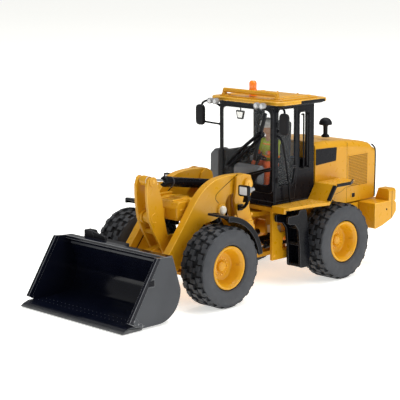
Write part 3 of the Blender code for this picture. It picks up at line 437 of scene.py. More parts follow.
class Piece:
    """Shapes of several finishes gathered into one mesh, which then rides on a CAD body."""

    def __init__(self, name, slot, *nodes, body="rear_frame"):
        self.name, self.slot, self.nodes, self.body = name, slot, nodes, body
        self.mesh = bmesh.new()
        self.looks = []

    def number(self, look):
        if look not in self.looks:
            self.looks.append(look)
        return self.looks.index(look)

    def add(self, shape, look, sides=(1,)):
        """Adds a shape, its mirror image or both. A pair of looks is for its faces and its rounded edges."""
        flat, edge = map(self.number, look if isinstance(look, tuple) else (look, look))
        for face in shape.faces:
            face.material_index = edge if face.material_index == 1 else flat
            face.smooth = True
        for side in sides:
            if side < 0:
                mirror(shape)
            copy_into(self.mesh, shape)
        shape.free()

    def cheeks(self, outline, low, high, soft, look):
        """A plate on each side, low to high from the middle plane."""
        self.add(plate(outline, "X", low, high, soft), look, BOTH)

    def done(self, side=1):
        if side < 0:
            mirror(self.mesh)
        bmesh.ops.scale(self.mesh, vec=(MM,) * 3, verts=self.mesh.verts)
        data = bpy.data.meshes.new(self.name)
        self.mesh.to_mesh(data)
        self.mesh.free()
        for look in self.looks:
            data.materials.append(look)
        data.set_sharp_from_angle(angle=math.radians(SHARP_OVER))
        made = bpy.data.objects.new(self.name, data)
        bpy.context.scene.collection.objects.link(made)
        evened = made.modifiers.new("even_normals", "WEIGHTED_NORMAL")
        evened.keep_sharp = True
        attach(made, self.body)
        if self.nodes:
            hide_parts(*self.nodes)


def finish_node(node, look, width=0.1):
    """A CAD node that stays as it is, with rounded edges and a finish."""
    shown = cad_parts[node]
    shown.data.materials.clear()
    shown.data.materials.append(look)
    weld = shown.modifiers.new("weld", "WELD")
    weld.merge_threshold = 0.00001
    if width:
        bevel = shown.modifiers.new("rounded_edges", "BEVEL")
        bevel.width = width * MM
        bevel.segments = 2
        bevel.limit_method = "ANGLE"
        bevel.angle_limit = math.radians(ROUNDED_OVER)


# ---------------------------------------------------------------- wheels

TREAD_COUNT = 22
# blocks as (share of a pitch, mm from the tyre's middle): a Z in the middle and a stepped lug on each side
MIDDLE_BLOCK = [(0.03, -1.85), (0.47, -1.85), (0.47, -0.4), (0.97, -0.4), (0.97, 1.85), (0.55, 1.85),
    (0.55, 0.4), (0.03, 0.4)]
SIDE_LUG = [(0, 2.3), (0.46, 2.3), (0.46, 3), (0.88, 3), (0.88, 4.3), (0.88, 5.05), (0.44, 5.05), (0.44, 4),
    (0, 4)]
SIDE_LUG_SHIFT = 0.3


def tread_block(corners, turn, side):
    """A raised block whose corners, (share of a pitch, mm across), are wrapped round the tyre."""
    middle = Vector((sum(c[0] for c in corners), sum(c[1] for c in corners))) / len(corners)
    shape = bmesh.new()
    rings = []
    for depth, shrink in ((12.9, 1.03), (13.8, 0.97), (14, 0.9)):
        ring = []
        for share, across in corners:
            share = middle.x + (share - middle.x) * shrink
            across = middle.y + (across - middle.y) * (shrink if abs(across) < 4.5 else 1)
            fall = max(0, abs(across) - 4.2)
            radius = depth - 0.55 * fall
            theta = (turn + share) * math.tau / TREAD_COUNT
            ring.append(shape.verts.new((across * side, radius * math.cos(theta), radius * math.sin(theta))))
        rings.append(ring)
    for near, far in zip(rings, rings[1:]):
        for k in range(len(near)):
            shape.faces.new((near[k], near[(k + 1) % len(near)], far[(k + 1) % len(near)], far[k]))
    shape.faces.new(rings[-1])
    shape.faces.new(rings[0][::-1])
    bmesh.ops.recalc_face_normals(shape, faces=shape.faces)
    return shape


def make_wheel(end, name, axle_y, side):
    body = f"wheel_{end}_{name}"
    centre = (TYRE_X, axle_y, AXLE_Z)
    tyre = Piece(f"treaded_tyre_{end}_{name}", "tyre_rubber", f"tyre_{end}_{name}", body=body)
    half = [
        (7.8, 4.5), (7.95, 4.95), (8.3, 5.15), (8.45, 5.3), (8.7, 5.33), (8.85, 5.25), (9.6, 5.42),
        (10.6, 5.5),
        (11.8, 5.42), (12.5, 5.22), (12.7, 5.1), (12.8, 5.2), (13.02, 5.2), (13.12, 5.02), (13.15, 4.4),
        (13.2, 3.2),
    ]
    profile = half + [(13.25, 0)] + [(radius, -along) for radius, along in reversed(half)]
    tyre.add(turned(profile, "X", centre, 96, True), RUBBER)
    # a near black ring under the tread blocks: painted shade in the grooves
    groove_shade_ring = [(13.1, -4.5), (13.22, -4.4), (13.27, 0), (13.22, 4.4), (13.1, 4.5)]
    tyre.add(turned(groove_shade_ring, "X", centre, 96, True), GROOVE_SHADE)
    blocks = []
    for turn in range(TREAD_COUNT):
        blocks.append(tread_block(MIDDLE_BLOCK, turn, 1))
        for lean in BOTH:
            shift = SIDE_LUG_SHIFT if lean > 0 else SIDE_LUG_SHIFT + 0.5
            blocks.append(tread_block(SIDE_LUG, turn + shift, lean))
    tyre.add(moved(merged(*blocks), centre), TREAD)
    tyre.done(side)

    rim = Piece(f"dished_rim_{end}_{name}", "yellow_paint", f"rim_{end}_{name}", body=body)
    outline = [
        (0, 1.62), (0.9, 1.6), (1.5, 1.5), (1.8, 1.25), (1.92, 0.9), (2, 0.5), (2.1, 0.42), (2.45, 0.42),
        (2.5, 0.5),
        (3.3, 0.5), (3.36, 0.42), (4.5, 0.42), (4.8, 0.55), (5, 0.9), (5.5, 2.5), (5.95, 3.7), (6.2, 4.15),
        (6.5, 4.35), (6.62, 4.6), (6.9, 4.72), (7.25, 4.72), (7.45, 4.6), (7.5, 4.3), (7.5, -4.9),
        (7.3, -5.03),
        (6.9, -5.03), (6.7, -4.8), (6.4, -3.6), (2.8, -3.3), (2.5, -3.6), (2.4, -5), (1.35, -5.03),
        (1.35, -1.6),
        (0, -1.6),
    ]
    rim.add(turned(outline, "X", centre, 72), PAINT)
    for out, height, radii, spots in (
        (0.48, 0.34, (0.27, 0.2), around(16, 2.9)), (1.5, 0.16, (0.13, 0.1), around(8, 1.25, 0.5)),
    ):
        for spot in spots:
            place = Vector(centre) + Vector((out, *spot))
            rim.add(rod(place, place + Vector((height, 0, 0)), *radii, 8), PAINT_HIGHLIGHT)
    valve = Vector(centre) + Vector((2.6, 5.3, 0))
    rim.add(rod(valve, valve + Vector((1.2, 0.2, 0)), 0.14, 0.11, 8), CHROME)
    rim.done(side)


def make_axles():
    for end, body, y in AXLES:
        axle = Piece(f"cast_axle_{end}", "yellow_paint", f"{end}_axle", body=body)
        half = [
            (4, 0), (3.95, 0.9), (3.6, 1.2), (3.5, 2.2), (3, 3), (2.6, 4), (2.4, 6), (2.3, 11.5),
            (2.5, 12.4), (2.5, 15.7), (1.2, 15.7), (1.2, 19.5), (0, 19.5),
        ]
        profile = [(radius, -along) for radius, along in reversed(half)] + half[1:]
        axle.add(turned(profile, "X", (0, y, AXLE_Z), 36), PAINT)
        for across, up in around(10, 3.2):
            axle.add(bolt((1.2, y + across, AXLE_Z + up), (1, 0, 0), 0.3, 0.4), PAINT_HIGHLIGHT, BOTH)
        axle.done()


# ---------------------------------------------------------------- bucket

def make_bucket():
    half, wall = 26, 0.9
    heel, radius = (-56.4, 10.6), 9.4
    bucket = Piece("bucket_detailed", "black_paint", "bucket_shell", body="bucket")
    curve = arc(heel, radius, 275, 362, 26)
    inner_curve = arc(heel, radius - wall, 362, 275, 26)
    # the shell as an inner skin and an outer one: one black paint, lighter outside as painted sheen and near
    # black inside as painted shade
    outer = [(-71.3, 1.08), (-69.4, 1.6), (-63.5, 1.1), (-56.2, 1.1)] + curve + [(-50, 22)]
    outer_back = [(-50.5, 22)] + arc(heel, radius - 0.45, 362, 275, 26) + [(-56.2, 1.6), (-63, 1.65),
        (-69.4, 1.8), (-71.3, 1.2)]
    bucket.add(plate(outer + outer_back, "X", -half + 0.2, half - 0.2, 0), BUCKET_OUT_SHEEN)
    inner = [(-50.4, 22.1)] + arc(heel, radius - 0.4, 362, 275, 26) + [(-56.2, 1.5), (-63, 1.55),
        (-69.4, 1.7), (-71.3, 1.15)]
    inner_front = [(-71.2, 1.3), (-69, 2.05), (-62, 2.05), (-56.2, 2)] + inner_curve[::-1] + [(-50.9, 22.1)]
    bucket.add(plate(inner + inner_front, "X", -half + 0.3, half - 0.3, 0), BUCKET_IN_SHADED)
    side = [(-69.3, 3.4), (-66, 1.6), (-63.4, 0.75), (-56.6, 0.75)] + arc(heel, radius + 0.45, 272, 362, 26)
    side += [(-49.8, 21.4), (-50.3, 22.1), (-55.4, 22.5), (-56.9, 22.7)]
    bucket.cheeks(side, half - 0.5, half, 0.1, BUCKET_SHEEN_LOOK)
    bucket.cheeks(side, half - wall, half - 0.45, 0.06, BUCKET_SHADE_LOOK)
    border = [(-69.35, 3.4), (-56.95, 22.72), (-55.3, 22.5), (-67.4, 3.6), (-67.2, 2.4)]
    bucket.cheeks(border, half - 0.95, half + 0.33, 0.1, BUCKET_SHADE_LOOK)
    # square pad on each side plate
    bucket.add(plate(filleted([(-61.4, 13.6), (-58.1, 13.5), (-58.1, 16.2), (-61.4, 15.9)], 0.3, 3), "X",
        half - 0.1, half + 0.24, 0.1), BUCKET_SHEEN_LOOK, BOTH)
    bucket.add(plate(filleted([(-61, 13.95), (-58.5, 13.9), (-58.5, 15.8), (-61, 15.55)], 0.2, 3), "X",
        half + 0.2, half + 0.34, 0.05), GREY, BOTH)
    wear = [(-68.9, 3.6), (-65.6, 1.9), (-63.4, 1.2), (-62.6, 1.6), (-64.8, 3), (-66.9, 5.6)]
    bucket.cheeks(wear, half + 0.1, half + 0.3, 0.06, BUCKET_SHEEN_LOOK)
    for place in ((-67.2, 3.9), (-65.4, 2.6), (-63.7, 1.7)):
        bucket.add(bolt((half + 0.28, *place), (1, 0, 0), 0.25, 0.14), BUCKET_EDGE_HIGHLIGHT, BOTH)
    heel_plate = arc(heel, radius + 0.3, 276, 330, 12) + arc(heel, radius - 0.1, 330, 276, 12)
    for x in (25, 15.6, 5.2):
        bucket.cheeks(heel_plate, x - 0.9, x + 0.9, 0.06, BUCKET_SHEEN_LOOK)
    bucket.add(box((-half + 0.4, -52.6, 21.2), (half - 0.4, -49.7, 22.3), 0.16), BUCKET_SHADE_LOOK)
    bucket.add(box((-half + 0.6, -50.3, 19), (half - 0.6, -49.5, 21.4), 0.2), BUCKET_OUT_SHEEN)
    # torsion tube and ribs low on the back
    ribs = arc(heel, radius + 0.2, 352, 308, 12) + arc(heel, radius + 1.5, 308, 352, 12)
    for x in (12.4, 17, 21.6):
        bucket.cheeks(ribs, x - 0.3, x + 0.3, 0.08, BUCKET_SHEEN_LOOK)
    tube_line = arc(heel, radius + 0.3, 318, 330, 2)
    bucket.add(disc(tube_line[1], -23.4, 23.4, 1, sides=20, soft=0.1), BUCKET_OUT_SHEEN)
    rooted = arc(heel, radius - 0.45, 0, -45, 6)
    ear = arc(BUCKET_PIN, 2.6, 280, 440, 16) + [(-45.2, 14), (-49.1, 17)] + rooted
    hole = circle(BUCKET_PIN, 1)
    bucket.add(plate(ear, "X", 6.4, 7.9, 0.12, [hole]), BUCKET_SHEEN_LOOK, BOTH)
    bucket.add(disc(BUCKET_PIN, 7.7, 8, 1.9, soft=0.08), BUCKET_SHEEN_LOOK, BOTH)
    bucket.add(disc(BUCKET_PIN, 6.5, 8.25, 1, sides=20, soft=0.1), STEEL, BOTH)
    link_ear = arc(LINK_PIN, 1.9, -50, 110, 12) + [(-47.2, 18.6), (-49.5, 19.2), (-47.8, 13), (-47.3, 11.2)]
    bucket.cheeks(link_ear, 2.2, 3.2, 0.1, BUCKET_SHEEN_LOOK)
    bucket.add(disc(LINK_PIN, 2, 3.5, 0.9, sides=20, soft=0.08), STEEL, BOTH)
    # bracket on the back of the top rim
    bucket.add(plate(filleted([(-19.4, -50), (1.2, -50), (1.2, -46.4), (-17.6, -46.4), (-19.4, -47.6)], 0.5,
        3), "Z", 20.4, 22.2, 0.2), MOULDED)
    bucket.add(plate(filleted([(-19.4, 20), (-14.6, 20), (-14.6, 23.2), (-15.6, 24.6), (-19.4, 24.6)], 0.5,
        3), "Y", -49, -46.5, 0.2), MOULDED)
    bucket.add(plate(filleted([(-16.4, 21.4), (-8.4, 21.4), (-8.8, 23.4), (-15.6, 24.4)], 0.6, 3), "Y", -48.8,
        -48, 0.2), MOULDED)
    bucket.add(bolt((-17, -47.6, 24.5), (0, 0, 1), 0.6, 0.1), BLACK_HIGHLIGHT)
    # bolt heads in two rows across the floor
    for row, (y, z) in enumerate(((-66.4, 2.05), (-63.4, 2.05))):
        for i in range(24):
            x = -23.4 + i * 2.035 + row * 0.5
            bucket.add(rod((x, y, z - 0.1), (x, y, z + 0.05), 0.17, 0.1, 8), STEEL)
    bucket.done()

    lip = Piece("cutting_edge_detailed", "black_paint", "cutting_edge", body="bucket")
    edge = [(-72, 0.3), (-63.6, 0.3), (-63.6, 0.9), (-69.4, 1.5), (-71.2, 1.05), (-72, 0.62)]
    lip.add(plate(edge, "X", -half, half, 0.05), STEEL)
    for i in range(13):
        x = -24.6 + i * 4.1
        lip.add(rod((x, -67.6, 0.9), (x, -67.6, 1.38), 0.36, 0.3, 10), STEEL)
    lip.done()


# ---------------------------------------------------------------- arms and linkage

def make_arms():
    upper = [(-5.9, 42), (-10.1, 42), (-16, 41.1), (-21.3, 38.4), (-25.4, 34.4), (-29.5, 29), (-37.2, 19.3),
        (-45.6, 9.6)]
    lower = [
        (-40.4, 6.9), (-35.3, 10.8), (-32.4, 13.6), (-27.2, 20), (-22.4, 25.6), (-20.4, 26.6), (-16.6, 27.2),
        (-13.6, 28.2), (-11.4, 30.4), (-9.6, 34.6), (-6.4, 35.4), (-2, 35),
    ]
    top = smooth_path(upper, 5)
    bottom = smooth_path(lower, 4)
    outline = top + arc(BUCKET_PIN, 2.85, 168, 290, 12)
    outline += bottom + arc(ARM_PIVOT, 3.38, 262, 450, 22)
    arms = Piece("lift_arms_detailed", "yellow_paint", "lift_arms", body="lift_arms")
    arms.cheeks(outline, 8.3, 11.3, 0.22, YELLOW)
    # groove round the pivot's boss plate
    groove = smooth_path([(-4.8, 42), (-11, 38.7), (-14.9, 36.4), (-15.6, 34.6), (-14.2, 33)], 6)
    arms.cheeks(band(groove, 0.2), 11.2, 11.34, 0, BLACK)
    for pin, radius in ((ARM_PIVOT, 2.5), (BUCKET_PIN, 2)):
        arms.add(disc(pin, 11, 11.55, radius, sides=32, soft=0.12), YELLOW, BOTH)
        arms.add(disc(pin, 11.3, 11.8, radius * 0.45, soft=0.1), PAINT_HIGHLIGHT, BOTH)
    arms.add(disc(LIFT_PIN, 11.1, 11.6, 2, sides=32, soft=0.15), YELLOW, BOTH)
    pin_head = [(0, 1.35), (0.8, 1.33), (1.2, 1.15), (1.42, 0.8), (1.45, 0.1), (1.5, 0.05), (1.5, -0.6),
        (0, -0.6)]
    arms.add(turned(pin_head, "X", (11.6, *LIFT_PIN), 32), PIN, BOTH)
    arms.add(turned([(1.55, 0), (1.95, 0.05), (1.95, 0.35), (1.55, 0.4)], "X", (11.6, *LIFT_PIN), 32, True),
        PAINT_HIGHLIGHT, BOTH)
    arms.add(disc(LIFT_PIN, 7.3, 8.4, 1.7, soft=0.1), PAINT, BOTH)
    # cross member with its cast pads, and the lever's support cast onto its front
    arms.add(box((-9.6, -24.6, 30.6), (9.6, -19, 34.8), 0.8, 4), PAINT)
    arms.add(box((6.6, -25, 29.8), (8.5, -18.6, 35.6), 0.5, 3), PAINT, BOTH)
    arms.add(plate([(-3.4, -24), (3.4, -24), (2.4, -19.6), (-2.4, -19.6)], "Z", 34.6, 35.2, 0.15), YELLOW)
    support = filleted([(-29.6, 28.2), (-26, 27.5), (-20.4, 28), (-19.4, 31.2), (-21.4, 34.4), (-28.6, 34.6),
        (-29.8, 32.4)], 1.1, 4)
    arms.add(plate(support, "X", -6.6, 6.6, 0.5, segments=4), PAINT)
    for x in (-3.4, 3.4):
        arms.add(box((x - 0.5, -28.6, 34.3), (x + 0.5, -21.6, 35), 0.2, 3), YELLOW)
    for z in (29.8, 31.6):
        arms.add(box((6.45, -28.2, z), (6.75, -26.2, z + 0.35), 0.1), PAINT_HIGHLIGHT, BOTH)
    tongue = capsule((-31, 30.4), LEVER_PIVOT, 1.9, 14)
    arms.add(plate(tongue, "X", -0.9, 0.9, 0.2, segments=3), PAINT)
    # grease line along the inside of each arm
    line = [(8.15, -8, 38.6), (8.15, -14, 38), (8.15, -20, 35.4), (8.15, -28, 26), (8.15, -36, 16)]
    arms.add(tube(line, 0.18, 8), BLACK, BOTH)
    arms.done()

    lever = Piece("tilt_lever_detailed", "yellow_paint", "tilt_lever", body="tilt_lever")
    front = [(-39.2, 43.8), (-40.2, 41), (-40.2, 37.6), (-39.9, 34), (-39.3, 29.5), (-37.5, 25.2),
        (-34.6, 20.2), (-32.2, 15.8)]
    rear = [(-29.2, 17), (-30.2, 20.8), (-31.6, 26), (-32.6, 30.6), (-33.2, 35.2), (-34.8, 39.6),
        (-35.8, 43.4)]
    outline = filleted(front + rear, 2.4, 5)
    lever.cheeks(outline, 2.2, 3.3, 0.13, YELLOW)
    for pin, radius in ((LEVER_TOP, 1.6), (LEVER_FOOT, 1.3)):
        lever.add(disc(pin, 3.2, 3.7, radius, sides=28, soft=0.1), YELLOW, BOTH)
        lever.add(disc(pin, 3.5, 3.88, radius * 0.45, sides=20, soft=0.06), PAINT_HIGHLIGHT, BOTH)
        lever.add(disc(pin, -2.4, 2.4, 0.85, sides=20), PIN)
    lever.add(disc(LEVER_PIVOT, 1.05, 2.3, 2.3, sides=28, soft=0.1), PAINT, BOTH)
    lever.add(rod((-2.4, -35.6, 24.6), (2.4, -35.6, 24.6), 0.9, sides=16), PAINT)
    lever.add(disc(LEVER_PIVOT, 3.2, 3.36, 1.5, sides=28, soft=0.06), PAINT, BOTH)
    lever.cheeks(band(arc(LEVER_PIVOT, 1.55, 70, 290, 16), 0.3), 3.25, 3.55, 0.1, PAINT_HIGHLIGHT)
    lever.done()

    link = Piece("tilt_link_detailed", "yellow_paint", "tilt_link", body="tilt_link")
    link.add(plate(capsule(LEVER_FOOT, LINK_PIN, 1.5, 14), "X", -1.8, 1.8, 0.25, segments=3), YELLOW)
    link.cheeks(capsule((-33.4, 17.4), (-42.2, 16), 0.7, 10), 1.7, 1.95, 0.08, PAINT_HIGHLIGHT)
    link.done()


def make_cylinder(name, pins, x, radii, lengths, eye_look):
    """A hydraulic cylinder in a plane of constant X: a chrome rod, and a black barrel with its bands.

    pins are the rod's eye and the barrel's base, and radii the rod's and the barrel's. lengths are the
    barrel's own and the gap at rest between its end wall and the rod.
    """
    eye, base = pins
    rod_radius, barrel_radius = radii
    reach, closing = lengths
    eye_half = min(barrel_radius, 1.6)

    span = (Vector(eye) - Vector(base)).length

    def at(distance):
        return (x, *(Vector(base) + (Vector(eye) - Vector(base)).normalized() * distance))

    shaft = Piece(f"{name}_rod_polished", "chrome", f"{name}_rod", body=f"{name}_rod")
    shaft.add(rod(at(2.9 + closing), (x, *eye), rod_radius, sides=28), CHROME)
    shaft.add(rod((x - eye_half, *eye), (x + eye_half, *eye), 1.7, sides=32, soft=0.15), eye_look)
    shaft.add(rod(at(span - 2.6), at(span - 1.4), rod_radius + 0.3, rod_radius + 0.45, 24, 0.1), DARK)
    shaft.done()
    barrel = Piece(f"{name}_barrel_painted", "black_paint", f"{name}_barrel", body=f"{name}_barrel")
    profile = [
        (0, 0.9), (barrel_radius - 0.2, 0.9), (barrel_radius, 1.2), (barrel_radius, reach - 2.4),
        (barrel_radius + 0.22, reach - 2.2), (barrel_radius + 0.24, reach - 0.3),
        (barrel_radius, reach + 0.1),
        (rod_radius + 0.12, reach + 0.1), (rod_radius + 0.12, reach - 2), (0, reach - 2.1),
    ]
    heading = Vector((0, *(Vector(eye) - Vector(base)))).to_track_quat("Z", "Y").to_matrix().to_4x4()

    def along(outline, ring=False):
        solid = turned(outline, "Z", (0, 0, 0), 36, ring)
        solid.transform(Matrix.Translation((x, *base)) @ heading)
        return solid

    barrel.add(along(profile), BLACK)
    barrel.add(rod((x - eye_half, *base), (x + eye_half, *base), 1.7, sides=32, soft=0.15), DARK)
    for distance in (2.4, reach - 3.4):
        ring = [
            (barrel_radius, distance - 0.3), (barrel_radius + 0.14, distance - 0.25),
            (barrel_radius + 0.14, distance + 0.25), (barrel_radius, distance + 0.3),
        ]
        barrel.add(along(ring, True), BLACK_HIGHLIGHT)
    barrel.done()


# ---------------------------------------------------------------- front frame

def make_front_frame():
    chassis = Piece("front_chassis_detailed", "yellow_paint", "front_chassis", body="front_frame")
    chassis.add(cad("front_chassis", soft=0.14), YELLOW)
    for x, z in ((-7.4, 27.4), (0.8, 27.4)):
        chassis.add(bolt((12.8, x, z), (1, 0, 0), 0.45, 0.3), PAINT_HIGHLIGHT, BOTH)
    chassis.add(disc(ARM_PIVOT, 13.4, 13.75, 1.4, soft=0.1), PAINT_HIGHLIGHT, BOTH)
    chassis.add(bolt((13.6, *ARM_PIVOT), (1, 0, 0), 0.6, 0.4), PAINT_HIGHLIGHT, BOTH)
    for row in range(4):
        for i in range(6):
            place = (12.9 + row * 0.75, -8.2 + i * 1.3 + (row % 2) * 0.6, 25.6)
            chassis.add(ball(place, 0.24, (1, 1.5, 0.5), 6, 8), PAINT_HIGHLIGHT, BOTH)
    chassis.add(plate(filleted([(-24.6, 17), (-12.4, 17.4), (-12.4, 12), (-20, 10.4), (-26, 12)], 1, 4), "X",
        12.7, 13, 0.1), YELLOW, BOTH)
    chassis.done()

    for name, side in SIDES:
        fender = Piece(f"front_fender_moulded_{name}", "black_plastic", f"front_fender_{name}",
            body="front_frame")
        shell = arc(FENDER_CENTRE, 17.55, 87, 8, 30) + arc(FENDER_CENTRE, 16.7, 8, 87, 30)
        fender.add(plate(shell, "X", 15.9, 26, 0.15), DARK)
        lip = arc(FENDER_CENTRE, 17.6, 87, 8, 30) + arc(FENDER_CENTRE, 15.7, 8, 87, 30)
        fender.add(plate(lip, "X", 25.5, 26.2, 0.18), DARK)
        fender.add(plate(arc(FENDER_CENTRE, 17.75, 84, 12, 30) + arc(FENDER_CENTRE, 17.4, 12, 84, 30), "X",
            17.4, 17.9, 0.1), BLACK)
        fender.add(box((13.2, -11.4, 21.4), (16.6, -9.6, 24), 0.25), DARK)
        fender.done(side)

        lamp = Piece(f"headlight_detailed_{name}", "black_plastic", f"headlight_{name}", body="front_frame")
        frame_line = panel((16.5, 35.7), (21.1, 39.5), 0.7, 5)
        pane = panel((16.95, 36.15), (20.65, 39.05), 0.4, 4)
        lamp.add(plate(frame_line, "Y", -9.8, -8.6, 0.18, [pane]), DARK)
        lamp.add(plate(pane, "Y", -9.6, -8.8, 0.1), LENS)
        for i in range(8):
            x = 17.15 + i * 0.475
            lamp.add(rod((x, -9.6, 36.3), (x, -9.6, 38.9), 0.15, sides=8), LENS)
        lamp.add(rod((18.8, -8.7, 37.6), (18.8, -5.6, 37.6), 1.8, 0.9, 24, 0.2), SILVER)
        lamp.add(rod((18.8, -5.8, 37.6), (18.8, -4.5, 37.6), 0.6, sides=12), SILVER)
        lamp.add(tube([(18.8, -7.6, 36.4), (18.6, -7.4, 33.6), (17, -7.4, 31.5), (13.4, -5.6, 30.6)], 0.6),
            BLACK)
        lamp.add(box((13.1, -6.6, 29.6), (13.9, -4.4, 31.8), 0.15), DARK)
        lamp.add(plate(filleted([(17, 33), (19.8, 34), (19.8, 36), (18, 36)], 0.4, 3), "Y", -8.4, -7, 0.2),
            BLACK)
        lamp.done(side)


# ---------------------------------------------------------------- rear frame and hitch

def make_rear_frame():
    rear = Piece("rear_chassis_detailed", "yellow_paint", "rear_chassis")
    rear.add(cad("rear_chassis", soft=0.14), YELLOW)
    for y, z in ((11.6, 26.6), (26.2, 26.6), (11.6, 10.6), (24.4, 10.6), (32, 22), (47, 21), (54, 21)):
        rear.add(bolt((14, y, z), (1, 0, 0), 0.32, 0.22), PAINT_HIGHLIGHT, BOTH)
    for x in (-3, -2, -1, 1.2, 2.2):
        line = [(x, 11 - abs(x) * 0.2, 26.2), (x * 1.1, 9.6, 24), (x * 0.9, 9.2, 18), (x * 1.2, 10.4, 12.4)]
        rear.add(tube(line, 0.32, 8), HOSE)
    rear.add(box((8.4, 13.6, 18.2), (12.4, 17, 21), 0.3, 3), SAND)
    rear.add(ball((13, 18, 16.2), 0.9, (0.6, 1, 1)), AMBER_GLOWING, BOTH)
    rear.add(box((13.2, 15.2, 10.4), (13.8, 21.4, 11.6), 0.2), SILVER, BOTH)
    rear.done()

    pin = Piece("articulation_pin_detailed", "chrome", "articulation_pin")
    pin.add(rod((0, HITCH_Y, 8.2), (0, HITCH_Y, 26.4), 1.4, sides=28, soft=0.1), STEEL)
    pin.add(rod((0, HITCH_Y, 25.9), (0, HITCH_Y, 26.8), 1.9, sides=6, soft=0.12), CHROME)
    pin.done()
    shaft = Piece("drive_shaft_detailed", "black_paint", "drive_shaft")
    shaft.add(rod((0, 12.4, 13.6), (0, 25.8, 13.6), 1.15), BLACK)
    for y in (11.9, 13.1, 24.6):
        shaft.add(rod((0, y - 0.3, 13.6), (0, y + 0.3, 13.6), 1.85, soft=0.1), DARK)
    shaft.done()
    for name, side in SIDES:
        x = side * STEERING_X
        steering_rod = Piece(f"steering_{name}_rod_polished", "chrome", f"steering_{name}_rod",
            body=f"steering_{name}_rod")
        steering_rod.add(rod((x, STEERING_EYE_Y, 12.9), (x, STEERING_EYE_Y, 15.1), 1.1, soft=0.1), DARK)
        steering_rod.add(rod((x, STEERING_EYE_Y, 14), (x, 20.5, 14), 0.55, sides=20), CHROME)
        steering_rod.done()
        steering = Piece(f"steering_{name}_barrel_painted", "black_paint", f"steering_{name}_barrel",
            body=f"steering_{name}_barrel")
        steering.add(turned([(0.65, 11.8), (1.4, 11.8), (1.5, 12.1), (1.5, 13.4), (1.35, 13.5), (1.35, 26.4),
            (1.2, 27), (0, 27), (0, 24), (0.65, 24)], "Y", (x, 0, 14), 28), BLACK)
        steering.done()

    weight = Piece("counterweight_detailed", "yellow_paint", "counterweight")
    slab = filleted([(59, 14.4), (63.8, 15.4), (69.6, 17.4), (72, 20), (72, 23.2), (70.8, 24.5), (59, 24.5)],
        0.8, 4)
    weight.add(plate(slab, "X", -22, 22, 0.3, segments=3), YELLOW)
    block = filleted([(14.9, 24.2), (22, 24.2), (22, 28.2), (21.2, 29), (16.6, 29)], 0.5, 4)
    weight.add(plate(block, "Y", 67.4, 71.6, 0.3, segments=3), YELLOW, BOTH)
    weight.add(box((21.9, 69.05, 17.8), (22.02, 69.25, 28.2), 0), BLACK, BOTH)
    weight.add(rod((21.8, 66, 21.4), (22.1, 66, 21.4), 0.35, sides=16), BLACK, BOTH)
    weight.add(box((-6, 71.6, 19.6), (6, 72.05, 23), 0.15), YELLOW)
    weight.add(rod((0, 71.2, 21.2), (0, 72.2, 21.2), 1.2, sides=28, soft=0.1), BLACK)
    for x in (17.6, 19.6):
        weight.add(rod((x, 71.4, 26.4), (x, 71.75, 26.4), 0.75, soft=0.08), RED_LENS if x < 18 else AMBER_GLOWING,
            BOTH)
    weight.done()


# ---------------------------------------------------------------- hood

